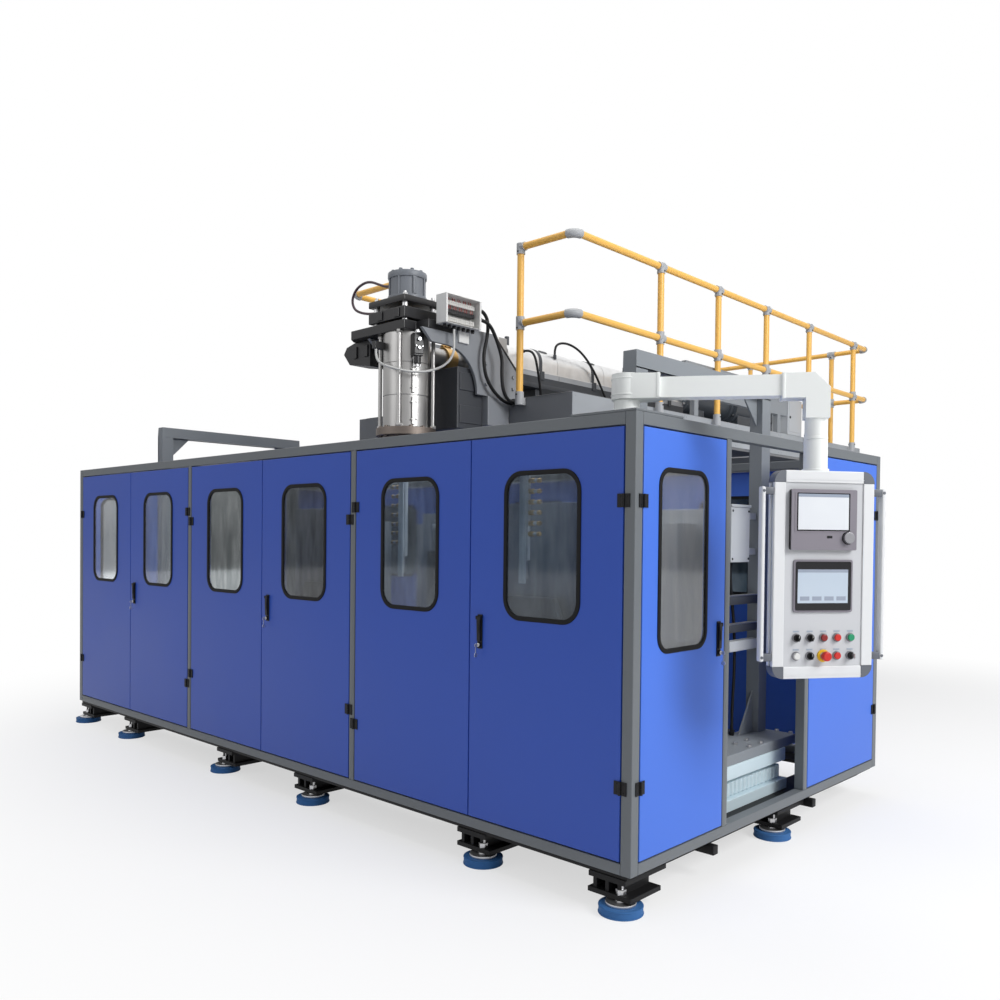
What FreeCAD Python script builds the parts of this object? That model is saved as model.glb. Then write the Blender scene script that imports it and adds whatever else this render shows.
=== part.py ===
import FreeCAD, Part
import math
import os

# Blow moulding machine with two shuttling clamp stations behind a guarded cabinet.
# Millimetres. X runs along the long front, Y from the front face to the rear, Z up.
# The model is laid out from the extruder centre line (x = 0), the cabinet's front face
# (y = 0) and the floor (z = 0), and is moved to the middle of its footprint at the end.

Vec = FreeCAD.Vector

# ---------------------------------------------------------------- driving dimensions
CABINET_LENGTH = 5250.0
CABINET_DEPTH = 2446.0
CABINET_HEIGHT = 1800.0
CABINET_BASE = 160.0
CORNER_POST = 50.0
MID_POST = 40.0
TOP_RAIL = 50.0
BOTTOM_RAIL = 45.0
BAYS = 3
BAY_CLEAR = (CABINET_LENGTH - 2 * CORNER_POST - (BAYS - 1) * MID_POST) / BAYS

DOOR_GAP = 6.0
DOOR_DEPTH = 25.0
SHEET = 2.0
WINDOW_WIDTH = 425.0
WINDOW_HEIGHT = 640.0
WINDOW_SILL = 1113.0
WINDOW_CORNER = 95.0
SEAL_WIDTH = 20.0
SEAL_FRONT = 5.0
SEAL_BACK = 9.0
PANE_THICKNESS = 4.0

HINGE_HEIGHT = 53.0
HINGE_LEAF = 28.0
HINGE_THICKNESS = 5.0
HINGE_KNUCKLE = 6.0
HINGE_PIN = 3.0
PIN_CLEARANCE = 0.05
OUTER_BAY_HINGES = (1616.0, 500.0)
CENTRE_BAY_HINGES = (1553.0, 569.0)

LOCK_HEIGHT = 1049.0
LOCK_WIDTH = 30.0
LOCK_LENGTH = 152.0
LOCK_FROM_EDGE = 66.0
LOCK_PIVOT_DROP = 14.0
LOCK_PIVOT_Y = -11.0
LOCK_PIN = 2.0
EAR_THICKNESS = 4.0
LEVER_HALF = 10.5

END_POST_CENTRES = (710.0, 1517.0)
END_WINDOW = (160.0, 535.0, 1008.0, 1756.0)

STATION_CENTRE = 1650.0
HEAD_Y = 1089.0
CLAMP_STROKE = 330.0

PORTAL_X = (2218.0, 2293.0)
PORTAL_Y = (471.0, 1738.0)
PORTAL_COLUMN = 90.0
PORTAL_BEAM = 79.0
PORTAL_TOP = 2313.0
COLUMN_PLATE_TOP = 425.0

DECK_TOP = 2440.0
DECK_RIGHT = 863.0
DECK_LEFT = -1410.0
DECK_FRONT = 1781.0
DECK_REAR = 6550.0
DECK_BEAM = (100.0, 200.0)

RAIL_RADIUS = 24.0
RAIL_TOP = 3467.0
RAIL_MIDDLE = 2945.0
RAIL_OFFSET = 36.0

HEAD_RADIUS = 156.0
HEAD_BOTTOM = 2186.0
HEAD_TOP = 2812.0
BARREL_AXIS = 2800.0
NECK_AXIS = 2700.0

ARM_PIVOT = (2439.0, 197.0)
ARM_LENGTH = 745.0
ARM_ANGLE = 33.1
BOX_WIDTH = 428.0
BOX_BOTTOM = 932.0
BOX_TOP = 1740.0
BOX_TURN = 55.0

X_END = CABINET_LENGTH / 2
CABINET_TOP = CABINET_BASE + CABINET_HEIGHT
DOOR_LOW = CABINET_BASE + BOTTOM_RAIL + DOOR_GAP
DOOR_HIGH = CABINET_TOP - TOP_RAIL - DOOR_GAP

BEND_SHARE = 0.45

pieces = {}


# ---------------------------------------------------------------- shape helpers
def block(x0, x1, y0, y1, z0, z1):
    """A rectangular solid between two opposite corners."""
    return Part.makeBox(x1 - x0, y1 - y0, z1 - z0, Vec(x0, y0, z0))


def rod(start, direction, length, radius):
    """A round bar from a start point along a direction."""
    return Part.makeCylinder(radius, length, Vec(*start), Vec(*direction))


def ring(start, direction, length, outer, inner):
    """A round sleeve with a bore right through."""
    return rod(start, direction, length, outer).cut(rod(start, direction, length, inner))


def prism(points, extrusion):
    """A polygon of points pushed along a vector."""
    wire = Part.makePolygon([Vec(*p) for p in points] + [Vec(*points[0])])
    return Part.Face(wire).extrude(Vec(*extrusion))


def rounded_slab(x0, x1, z0, z1, radius, y0, y1):
    """A rectangle with rounded corners, standing in the X-Z plane, from y0 to y1."""
    corner = math.sqrt(0.5) * radius
    edges = []
    centres = ((x1 - radius, z0 + radius, 1, -1), (x1 - radius, z1 - radius, 1, 1),
               (x0 + radius, z1 - radius, -1, 1), (x0 + radius, z0 + radius, -1, -1))
    ends = []
    for index, (cx, cz, sx, sz) in enumerate(centres):
        side = Vec(cx + sx * radius, y0, cz)
        cap = Vec(cx, y0, cz + sz * radius)
        middle = Vec(cx + sx * corner, y0, cz + sz * corner)
        first, last = (cap, side) if index % 2 == 0 else (side, cap)
        edges.append(Part.Arc(first, middle, last).toShape())
        ends.append((first, last))
    for index in range(4):
        edges.append(Part.LineSegment(ends[index][1], ends[(index + 1) % 4][0]).toShape())
    wire = Part.Wire(Part.__sortEdges__(edges))
    return Part.Face(wire).extrude(Vec(0, y1 - y0, 0))


def mirrored(shape):
    """The same shape on the other side of the centre line x = 0."""
    return shape.mirror(Vec(0, 0, 0), Vec(1, 0, 0))


def turned(shape, angle, centre=(0, 0), axis=(0, 0, 1)):
    """A copy turned about an upright line through centre."""
    copy = shape.copy()
    copy.rotate(Vec(centre[0], centre[1], 0), Vec(*axis), angle)
    return copy


def add(node, *solids):
    """Files solids under the node that they belong to."""
    pieces.setdefault(node, []).extend(solids)


def tube_along(points, radius):
    """A round cord through a row of points: straight runs joined by tangent arcs."""
    stops = [Vec(*p) for p in points]
    edges = []
    radii = []
    here = stops[0]
    for before, corner, after in zip(stops, stops[1:], stops[2:]):
        into = (corner - before).normalize()
        out = (after - corner).normalize()
        half_turn = into.getAngle(out) / 2
        reach = BEND_SHARE * min((corner - before).Length, (after - corner).Length)
        bend = reach / math.tan(half_turn)
        radii.append(bend)
        start = corner - into * reach
        end = corner + out * reach
        inward = (out - into).normalize()
        middle = corner + inward * (bend / math.cos(half_turn) - bend)
        edges.append(Part.LineSegment(here, start).toShape())
        edges.append(Part.Arc(start, middle, end).toShape())
        here = end
    edges.append(Part.LineSegment(here, stops[-1]).toShape())
    path = Part.Wire(edges)
    first = stops[1] - stops[0]
    section = Part.Wire([Part.makeCircle(radius, stops[0], first)])
    tube = path.makePipeShell([section], True, True)
    print("cord length", round(path.Length), "diameter", 2 * radius, "bends", [round(r) for r in radii],
          "volume share", round(tube.Volume / (math.pi * radius ** 2 * path.Length), 4))
    return tube


# ---------------------------------------------------------------- base and feet
FOOT_X = (2552.0, 1791.0, 469.0)
FOOT_Y = (41.0, 1312.0)
PAD_RADIUS = 91.0
PAD_HEIGHT = 34.0
DISC_RADIUS = 62.0
DISC_HEIGHT = 12.0
SCREW_RADIUS = 14.0
BRACKET_LOW = 50.0
BRACKET_PLATE = 20.0
RAFT_LOW = 142.0


def foot(x, y, inward):
    """One levelling foot: rubber pad, steel disc and screw under a welded bracket."""
    pad = rod((x, y, 0), (0, 0, 1), PAD_HEIGHT, PAD_RADIUS)
    pad = pad.makeChamfer(8.0, [pad.Edges[0]])
    screw = rod((x, y, PAD_HEIGHT), (0, 0, 1), DISC_HEIGHT, DISC_RADIUS)
    stem_length = BRACKET_LOW - PAD_HEIGHT - DISC_HEIGHT
    stem = rod((x, y, PAD_HEIGHT + DISC_HEIGHT), (0, 0, 1), stem_length, SCREW_RADIUS)
    near, far = sorted((x - 60.0 * inward, x + 150.0 * inward))
    low_plate = block(near, far, y - 20, y + 190, BRACKET_LOW, BRACKET_LOW + BRACKET_PLATE)
    top_plate = block(near + 15, far - 15, y - 35, y + 250, 120, RAFT_LOW)
    webs = [block(wx - 9, wx + 9, y - 12, y + 180, BRACKET_LOW + BRACKET_PLATE, 120)
            for wx in (x, x + 60 * inward, x + 120 * inward)]
    bracket = low_plate.fuse(webs + [top_plate])
    add("foot_pads", pad)
    add("foot_screws", screw.fuse(stem))
    add("foot_brackets", bracket.removeSplitter())


for side in (1, -1):
    for foot_x in FOOT_X:
        for foot_y in FOOT_Y:
            foot(side * foot_x, foot_y, -side)

RAFT_X = X_END - 25.0
SKID = 20.0
SKID_Y = (618.0, 1600.0)
BED_TOP = 285.0

add("base_frame",
    block(-RAFT_X, RAFT_X, 10, 330, RAFT_LOW, CABINET_BASE),
    block(-RAFT_X, RAFT_X, 1180, 1480, RAFT_LOW, CABINET_BASE),
    block(-RAFT_X, RAFT_X, 2240, 2436, RAFT_LOW, CABINET_BASE))
for side in (1, -1):
    for skid_y in SKID_Y:
        skid = block(0, X_END + 12, skid_y - SKID, skid_y + SKID, 102, RAFT_LOW)
        add("base_frame", skid if side > 0 else mirrored(skid))
    for gap_y in ((330, 1180), (1480, 2240)):
        tie = block(RAFT_X - 230, RAFT_X, gap_y[0], gap_y[1], RAFT_LOW, CABINET_BASE)
        add("base_frame", tie if side > 0 else mirrored(tie))
BED_X = 2180.0
for bed_y in (455.0, 1625.0):
    add("base_frame", block(-BED_X, BED_X, bed_y, bed_y + 100, CABINET_BASE, BED_TOP))
for bed_x in (-2180.0, -1100.0, 0.0, 1100.0, 2180.0):
    low_x = bed_x - 50 if abs(bed_x) < 2000 else bed_x - 100 * (bed_x > 0)
    add("base_frame", block(low_x, low_x + 100, 555, 1625, CABINET_BASE, BED_TOP))

# ---------------------------------------------------------------- cabinet frame
bay_starts = [-X_END + CORNER_POST + i * (BAY_CLEAR + MID_POST) for i in range(BAYS)]
mid_posts = [start - MID_POST for start in bay_starts[1:]]
POST_LOW = CABINET_BASE + BOTTOM_RAIL
POST_HIGH = CABINET_TOP - TOP_RAIL

for y0 in (0.0, CABINET_DEPTH - CORNER_POST):
    for z0, z1 in ((CABINET_BASE, POST_LOW), (POST_HIGH, CABINET_TOP)):
        add("cabinet_frame", block(-X_END + CORNER_POST, X_END - CORNER_POST, y0, y0 + CORNER_POST, z0, z1))
    for x0 in (-X_END, X_END - CORNER_POST):
        add("cabinet_frame", block(x0, x0 + CORNER_POST, y0, y0 + CORNER_POST, CABINET_BASE, CABINET_TOP))
    for x0 in mid_posts:
        add("cabinet_frame", block(x0, x0 + MID_POST, y0, y0 + CORNER_POST, POST_LOW, POST_HIGH))
for x0 in (-X_END, X_END - CORNER_POST):
    for z0, z1 in ((CABINET_BASE, POST_LOW), (POST_HIGH, CABINET_TOP)):
        add("cabinet_frame", block(x0, x0 + CORNER_POST, CORNER_POST, CABINET_DEPTH - CORNER_POST, z0, z1))
    for yc in END_POST_CENTRES:
        half = MID_POST / 2
        add("cabinet_frame", block(x0, x0 + CORNER_POST, yc - half, yc + half, POST_LOW, POST_HIGH))


# ---------------------------------------------------------------- doors and panels
def tray(x0, x1, z0, z1, hole=None):
    """A folded sheet tray: a face with four returned edges, open at the back."""
    sheet = block(x0, x1, 0, DOOR_DEPTH, z0, z1)
    sheet = sheet.cut(block(x0 + SHEET, x1 - SHEET, SHEET, DOOR_DEPTH, z0 + SHEET, z1 - SHEET))
    if hole:
        sheet = sheet.cut(hole)
    return sheet


def glazing(x0, x1, z0, z1, radius):
    """The cut-out, the rubber seal and the pane of one rounded window."""
    hole = rounded_slab(x0, x1, z0, z1, radius, -1, SHEET + 1)
    seal = rounded_slab(x0, x1, z0, z1, radius, -SEAL_FRONT, SEAL_BACK)
    inner = radius - SEAL_WIDTH
    opening = rounded_slab(x0 + SEAL_WIDTH, x1 - SEAL_WIDTH, z0 + SEAL_WIDTH, z1 - SEAL_WIDTH,
                           inner, -SEAL_FRONT, SEAL_BACK)
    pane = rounded_slab(x0 + SEAL_WIDTH, x1 - SEAL_WIDTH, z0 + SEAL_WIDTH, z1 - SEAL_WIDTH,
                        inner, 1, 1 + PANE_THICKNESS)
    return hole, seal.cut(opening), pane


def hinge(x, z, door_side):
    """Both leaves of one hinge. door_side is +1 when the door lies towards +X."""
    low = z - HINGE_HEIGHT / 2
    split = z - 0.5
    high = z + HINGE_HEIGHT / 2
    axis_y = -HINGE_KNUCKLE - 1.0
    near = 1.5
    fixed_x = sorted((x - near * door_side, x - (near + HINGE_LEAF) * door_side))
    moving_x = sorted((x + near * door_side, x + (near + HINGE_LEAF) * door_side))
    fixed = block(fixed_x[0], fixed_x[1], -HINGE_THICKNESS, 0, low, high)
    moving = block(moving_x[0], moving_x[1], -HINGE_THICKNESS, 0, low, high)
    knuckle = rod((x, axis_y, low), (0, 0, 1), split - low, HINGE_KNUCKLE)
    strap_x = sorted((x, x - (near + 2) * door_side))
    strap = block(strap_x[0], strap_x[1], axis_y, -0.5, low, split)
    pin = rod((x, axis_y, split), (0, 0, 1), high - split - 4, HINGE_PIN)
    clear = rod((x, axis_y, split + 0.5), (0, 0, 1), high - split, HINGE_KNUCKLE + 0.7)
    fixed = fixed.fuse([knuckle, strap]).cut(clear).fuse(pin)
    bore = rod((x, axis_y, split - 1), (0, 0, 1), high - split - 2, HINGE_PIN + PIN_CLEARANCE)
    strap_x = sorted((x, x + (near + 2) * door_side))
    strap = block(strap_x[0], strap_x[1], axis_y, -0.5, split + 1, high)
    socket = rod((x, axis_y, split + 1), (0, 0, 1), high - split - 1, HINGE_KNUCKLE)
    swept = rod((x, axis_y, low - 1), (0, 0, 1), split + 1 - low, HINGE_KNUCKLE + 0.7)
    moving = moving.fuse([socket, strap]).cut(bore).cut(swept)
    return fixed, moving


def lock(x, z_centre):
    """The escutcheon and cylinder of a swing-handle lock, and its lever."""
    half_w = LOCK_WIDTH / 2
    half_l = LOCK_LENGTH / 2
    plate = block(x - half_w, x + half_w, -5, 0, z_centre - half_l, z_centre + half_l)
    plate = plate.fuse(rod((x, -14, z_centre - half_l + 17), (0, 1, 0), 9, 11))
    pivot_z = z_centre + half_l - LOCK_PIVOT_DROP
    for ear_x in (x - half_w, x + half_w - EAR_THICKNESS):
        ear = block(ear_x, ear_x + EAR_THICKNESS, -17, -5, pivot_z - 8, pivot_z + 8)
        plate = plate.fuse(ear)
    plate = plate.fuse(rod((x - half_w, LOCK_PIVOT_Y, pivot_z), (1, 0, 0), LOCK_WIDTH, LOCK_PIN))
    reach = -5.6 - LOCK_PIVOT_Y
    low_z = z_centre - half_l + 34
    lever = prism(((x - LEVER_HALF, -5.6, low_z), (x - LEVER_HALF, -13, low_z),
                   (x - LEVER_HALF, -17, pivot_z - 16), (x - LEVER_HALF, -17, pivot_z + reach),
                   (x - LEVER_HALF, LOCK_PIVOT_Y, pivot_z + reach), (x - LEVER_HALF, -5.6, pivot_z)),
                  (2 * LEVER_HALF, 0, 0))
    lever = lever.cut(rod((x - half_w, LOCK_PIVOT_Y, pivot_z), (1, 0, 0), LOCK_WIDTH,
                          LOCK_PIN + PIN_CLEARANCE))
    return plate, lever


door_axes = {}
lock_pivots = {}


def front_door(number, x0, x1, hinge_left, hinge_heights, with_lock):
    """One hinged front door with its window, hinges and, on right-hand doors, a lock."""
    node = "front_door_%d" % number
    middle = (x0 + x1) / 2
    hole, seal, pane = glazing(middle - WINDOW_WIDTH / 2, middle + WINDOW_WIDTH / 2,
                               WINDOW_SILL, WINDOW_SILL + WINDOW_HEIGHT, WINDOW_CORNER)
    sheet = tray(x0, x1, DOOR_LOW, DOOR_HIGH, hole)
    direction = 1 if hinge_left else -1
    axis_x = (x0 if hinge_left else x1) - direction * DOOR_GAP / 2
    for z in hinge_heights:
        fixed, moving = hinge(axis_x, z, direction)
        add("door_hinges", fixed)
        sheet = sheet.fuse(moving)
    door_axes[node] = (axis_x, -HINGE_KNUCKLE - 1.0, direction)
    if with_lock:
        plate, lever = lock(x0 + LOCK_FROM_EDGE, LOCK_HEIGHT)
        sheet = sheet.fuse(plate)
        add("lock_handle_%d" % (number // 2), lever)
        lock_pivots["lock_handle_%d" % (number // 2)] = (x0 + LOCK_FROM_EDGE, LOCK_PIVOT_Y,
                                                         LOCK_HEIGHT + LOCK_LENGTH / 2 - LOCK_PIVOT_DROP)
    add(node, sheet.removeSplitter(), seal, pane)


for bay, start in enumerate(bay_starts):
    split = start + BAY_CLEAR / 2
    heights = CENTRE_BAY_HINGES if bay == 1 else OUTER_BAY_HINGES
    front_door(2 * bay + 1, start + DOOR_GAP, split - DOOR_GAP / 2, True, heights, False)
    front_door(2 * bay + 2, split + DOOR_GAP / 2, start + BAY_CLEAR - DOOR_GAP, False, heights, True)


def on_right_end(shape):
    """Moves a shape drawn on the front face to the right end face."""
    copy = shape.copy()
    copy.rotate(Vec(0, 0, 0), Vec(0, 0, 1), 90)
    copy.translate(Vec(X_END, 0, 0))
    return copy


end_low = CORNER_POST + DOOR_GAP
end_high = END_POST_CENTRES[0] - MID_POST / 2 - DOOR_GAP
hole, seal, pane = glazing(END_WINDOW[0], END_WINDOW[1], END_WINDOW[2], END_WINDOW[3], 75.0)
end_sheet = tray(end_low, end_high, DOOR_LOW, DOOR_HIGH, hole)
for z in OUTER_BAY_HINGES:
    fixed, moving = hinge(end_low - DOOR_GAP / 2, z, 1)
    add("door_hinges", on_right_end(fixed))
    end_sheet = end_sheet.fuse(moving)
END_LOCK_Y = end_high - 52.0
END_LOCK_HEIGHT = LOCK_HEIGHT - 10
plate, lever = lock(END_LOCK_Y, END_LOCK_HEIGHT)
end_sheet = end_sheet.fuse(plate).removeSplitter()
add("end_door", on_right_end(end_sheet), on_right_end(seal), on_right_end(pane))
add("lock_handle_4", on_right_end(lever))
door_axes["end_door"] = (X_END + HINGE_KNUCKLE + 1.0, end_low - DOOR_GAP / 2, 1)
lock_pivots["lock_handle_4"] = (X_END - LOCK_PIVOT_Y, END_LOCK_Y,
                                END_LOCK_HEIGHT + LOCK_LENGTH / 2 - LOCK_PIVOT_DROP)

panel_low = END_POST_CENTRES[1] + MID_POST / 2 + DOOR_GAP
panel_high = CABINET_DEPTH - CORNER_POST - DOOR_GAP
panel_sheet = tray(panel_low, panel_high, DOOR_LOW, DOOR_HIGH)
for z in OUTER_BAY_HINGES:
    fixed, moving = hinge(panel_high + DOOR_GAP / 2, z, -1)
    add("door_hinges", on_right_end(fixed))
    panel_sheet = panel_sheet.fuse(moving)
add("end_panel", on_right_end(panel_sheet.removeSplitter()))
door_axes["end_panel"] = (X_END + HINGE_KNUCKLE + 1.0, panel_high + DOOR_GAP / 2, -1)

# Fixed guard sheets close the rear and the left end, with one window in each.
rear = []
for start in bay_starts:
    middle = start + BAY_CLEAR / 2
    hole, seal, pane = glazing(middle - 300, middle + 300, WINDOW_SILL, WINDOW_SILL + WINDOW_HEIGHT, WINDOW_CORNER)
    sheet = tray(start + 2, start + BAY_CLEAR - 2, DOOR_LOW, DOOR_HIGH, hole)
    rear.append((sheet, seal, pane))
for sheet, seal, pane in rear:
    for node, shape in (("guard_panels", sheet), ("guard_windows", seal), ("guard_windows", pane)):
        copy = turned(shape, 180)
        copy.translate(Vec(0, CABINET_DEPTH, 0))
        add(node, copy)
left_bays = ((CORNER_POST, END_POST_CENTRES[0] - MID_POST / 2), (END_POST_CENTRES[1] + MID_POST / 2,
                                                               CABINET_DEPTH - CORNER_POST))
for index, (low, high) in enumerate(left_bays):
    hole, seal, pane = glazing(END_WINDOW[0], END_WINDOW[1], END_WINDOW[2], END_WINDOW[3], 75.0)
    sheet = tray(low + 2, high - 2, DOOR_LOW, DOOR_HIGH, hole if index == 0 else None)
    add("guard_panels", mirrored(on_right_end(sheet)))
    if index == 0:
        add("guard_windows", mirrored(on_right_end(seal)), mirrored(on_right_end(pane)))

# ---------------------------------------------------------------- end guides and portals
GUIDE_X = 2420.0
GUIDE_FRONT = 420.0
GUIDE_REAR = 1643.0
RACK_PITCH = 40.0
RACK_TOOTH = 12.0
GUSSET = 150.0


def end_guides():
    """Two flat guide beams at one end of the bed with a toothed rack between them."""
    upper = block(GUIDE_X - 70, GUIDE_X + 35, GUIDE_FRONT, GUIDE_REAR, 307, 374)
    lower = block(GUIDE_X - 70, GUIDE_X + 45, GUIDE_FRONT, GUIDE_REAR, CABINET_BASE, 215)
    profile = [(GUIDE_X - 60, GUIDE_FRONT + 20), (GUIDE_X + 10, GUIDE_FRONT + 20)]
    y = GUIDE_FRONT + 40
    while y + RACK_PITCH < GUIDE_REAR - 20:
        profile += [(GUIDE_X + 10, y), (GUIDE_X + 10 + RACK_TOOTH, y + 8),
                    (GUIDE_X + 10 + RACK_TOOTH, y + 20), (GUIDE_X + 10, y + 28)]
        y += RACK_PITCH
    profile += [(GUIDE_X + 10, GUIDE_REAR - 20), (GUIDE_X - 60, GUIDE_REAR - 20)]
    rack = prism([(px, py, 222) for px, py in profile], (0, 0, 62))
    rail = block(GUIDE_X - 50, GUIDE_X - 10, GUIDE_FRONT + 20, GUIDE_REAR - 20, 284, 307)
    foot_rail = block(GUIDE_X - 60, GUIDE_X + 10, GUIDE_FRONT + 20, GUIDE_REAR - 20, 215, 222)
    return (upper, lower), (rack.fuse([rail, foot_rail]),)


def portal():
    """A goal-post frame of rectangular tube with gussets in its corners."""
    x0, x1 = PORTAL_X
    middle = (x0 + x1) / 2
    beam_low = PORTAL_TOP - PORTAL_BEAM
    members = [block(x0, x1, PORTAL_Y[0], PORTAL_Y[1], beam_low, PORTAL_TOP)]
    for y0, inward in ((PORTAL_Y[0], 1), (PORTAL_Y[1] - PORTAL_COLUMN, -1)):
        members.append(block(x0, x1, y0, y0 + PORTAL_COLUMN, COLUMN_PLATE_TOP, beam_low))
        face = y0 + PORTAL_COLUMN if inward > 0 else y0
        for z, drop in ((beam_low, -GUSSET), (COLUMN_PLATE_TOP, GUSSET * 1.5)):
            corner = ((middle - 5, face, z), (middle - 5, face, z + drop),
                      (middle - 5, face + GUSSET * inward, z))
            members.append(prism(corner, (10, 0, 0)))
    return members


def column_plate():
    """The thick plate that ties a portal's two columns to the guide beams."""
    plate = block(2200, 2450, 440, 1768, 374, COLUMN_PLATE_TOP)
    packer = block(2200, 2280, 470, 1738, CABINET_BASE, 374)
    return [plate, packer]


beams, racks = end_guides()
for shape in beams:
    add("guide_beams", shape, mirrored(shape))
for shape in racks:
    add("guide_beams", shape, mirrored(shape))
for shape in portal() + column_plate():
    add("portal_frames", shape, mirrored(shape))

# ---------------------------------------------------------------- clamp stations
RAIL_Y = (505.0, 1675.0)
SLIDE_RAIL_HEIGHT = 34.0
CARRIAGE_LOW = 345.0
CARRIAGE_PLATE = 50.0
CARRIAGE_HALF = 450.0
PLATEN_THICKNESS = 80.0
PLATEN_HALF = 400.0
PLATEN_LOW = 470.0
PLATEN_TOP = 1640.0
MOULD_HALF = 260.0
MOULD_DEPTH = 180.0
MOULD_LOW = 900.0
MOULD_TOP = 1560.0
GUIDE_BAR = 30.0
GUIDE_BAR_X = 310.0
GUIDE_BAR_Z = 700.0
FIT = 0.08
WALL_Y = (430.0, 1750.0)
WALL_THICKNESS = 40.0
CYLINDER_Z = 1000.0
CYLINDER_RADIUS = 85.0
CYLINDER_BORE = 62.0
CYLINDER_LENGTH = 335.0
PISTON_ROD = 35.0
PISTON_REACH = 370.0

for rail_y in RAIL_Y:
    add("shuttle_rails", block(-BED_X, BED_X, rail_y - 22, rail_y + 22, BED_TOP, BED_TOP + SLIDE_RAIL_HEIGHT))


def carriage(xc):
    """The shuttle carriage: plate, runner blocks, end walls, clamp cylinders, guide bars."""
    low = CARRIAGE_LOW
    top = low + CARRIAGE_PLATE
    plate = block(xc - CARRIAGE_HALF, xc + CARRIAGE_HALF, WALL_Y[0], WALL_Y[1], low, top)
    parts = []
    for rail_y in RAIL_Y:
        for end in (-1, 1):
            runner_x = xc + end * (CARRIAGE_HALF - 110)
            runner = block(runner_x - 75, runner_x + 75, rail_y - 50, rail_y + 50, BED_TOP + 4, low)
            groove = block(runner_x - 76, runner_x + 76, rail_y - 22.4, rail_y + 22.4,
                           BED_TOP, BED_TOP + SLIDE_RAIL_HEIGHT + 0.4)
            parts.append(runner.cut(groove))
    for y0, outward in ((WALL_Y[0], -1), (WALL_Y[1] - WALL_THICKNESS, 1)):
        outline = [(xc - 380, top), (xc + 380, top), (xc + 380, 760), (xc + 200, 1180),
                   (xc - 200, 1180), (xc - 380, 760)]
        wall = prism([(px, y0, pz) for px, pz in outline], (0, WALL_THICKNESS, 0))
        outer_face = y0 if outward < 0 else y0 + WALL_THICKNESS
        jacket = rod((xc, outer_face, CYLINDER_Z), (0, outward, 0), CYLINDER_LENGTH, CYLINDER_RADIUS)
        wall = wall.fuse(jacket)
        bore = rod((xc, outer_face, CYLINDER_Z), (0, outward, 0), CYLINDER_LENGTH - 15, CYLINDER_BORE)
        passage = rod((xc, y0 - 1, CYLINDER_Z), (0, 1, 0), WALL_THICKNESS + 2, PISTON_ROD + FIT)
        parts.append(wall.cut(bore).cut(passage))
    for bar_x in (-GUIDE_BAR_X, GUIDE_BAR_X):
        parts.append(rod((xc + bar_x, WALL_Y[0] + WALL_THICKNESS, GUIDE_BAR_Z), (0, 1, 0),
                         WALL_Y[1] - WALL_Y[0] - 2 * WALL_THICKNESS, GUIDE_BAR))
    return plate.fuse(parts).removeSplitter()


def platen(xc, front):
    """A platen on the two guide bars, with its half of the mould and its piston rod."""
    sign = -1 if front else 1
    face = HEAD_Y + sign * CLAMP_STROKE
    back = face + sign * MOULD_DEPTH
    outer = back + sign * PLATEN_THICKNESS
    y0, y1 = sorted((back, outer))
    plate = block(xc - PLATEN_HALF, xc + PLATEN_HALF, y0, y1, PLATEN_LOW, PLATEN_TOP)
    for bar_x in (-GUIDE_BAR_X, GUIDE_BAR_X):
        bore = rod((xc + bar_x, y0 - 1, GUIDE_BAR_Z), (0, 1, 0), PLATEN_THICKNESS + 2, GUIDE_BAR + FIT)
        plate = plate.cut(bore)
    piston = rod((xc, outer, CYLINDER_Z), (0, sign, 0), PISTON_REACH, PISTON_ROD)
    m0, m1 = sorted((face, back))
    mould = block(xc - MOULD_HALF, xc + MOULD_HALF, m0, m1, MOULD_LOW, MOULD_TOP)
    cavity = mould_cavity(xc, face)
    mould = mould.cut(cavity)
    return plate, mould, piston


def mould_cavity(xc, face):
    """The hollow of one container half, with a neck that opens at the mould's top."""
    body = block(xc - 150, xc + 150, face - 110, face + 110, MOULD_LOW + 60, MOULD_TOP - 190)
    body = body.makeFillet(28.0, body.Edges)
    neck = rod((xc - 60, face, MOULD_TOP - 200), (0, 0, 1), 201, 32)
    return body.fuse(neck)


for name, centre in (("left", 0.0), ("right", STATION_CENTRE)):
    add("carriage_%s" % name, carriage(centre))
    add("platen_%s_front" % name, *platen(centre, True))
    add("platen_%s_rear" % name, *platen(centre, False))

# ---------------------------------------------------------------- extruder platform
beam_w, beam_h = DECK_BEAM
deck_low = DECK_TOP - beam_h
for x0 in (DECK_RIGHT - beam_w, DECK_LEFT):
    add("platform_frame", block(x0, x0 + beam_w, DECK_FRONT, DECK_REAR, deck_low, DECK_TOP))
CROSS_BEAMS = (DECK_FRONT, 3100.0, 4700.0, DECK_REAR - beam_w)
for y0 in CROSS_BEAMS:
    add("platform_frame", block(DECK_LEFT + beam_w, DECK_RIGHT - beam_w, y0, y0 + beam_w, deck_low, DECK_TOP))
LEG = 120.0
for leg_y in (2520.0, 4400.0, DECK_REAR - LEG):
    for leg_x in (DECK_LEFT, DECK_RIGHT - LEG):
        add("platform_frame", block(leg_x, leg_x + LEG, leg_y, leg_y + LEG, 20, deck_low),
            block(leg_x - 40, leg_x + LEG + 40, leg_y - 40, leg_y + LEG + 40, 0, 20))
for index in range(len(CROSS_BEAMS) - 1):
    add("platform_frame", block(DECK_LEFT + beam_w, DECK_RIGHT - beam_w, CROSS_BEAMS[index] + beam_w,
                               CROSS_BEAMS[index + 1], DECK_TOP - 6, DECK_TOP))

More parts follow.
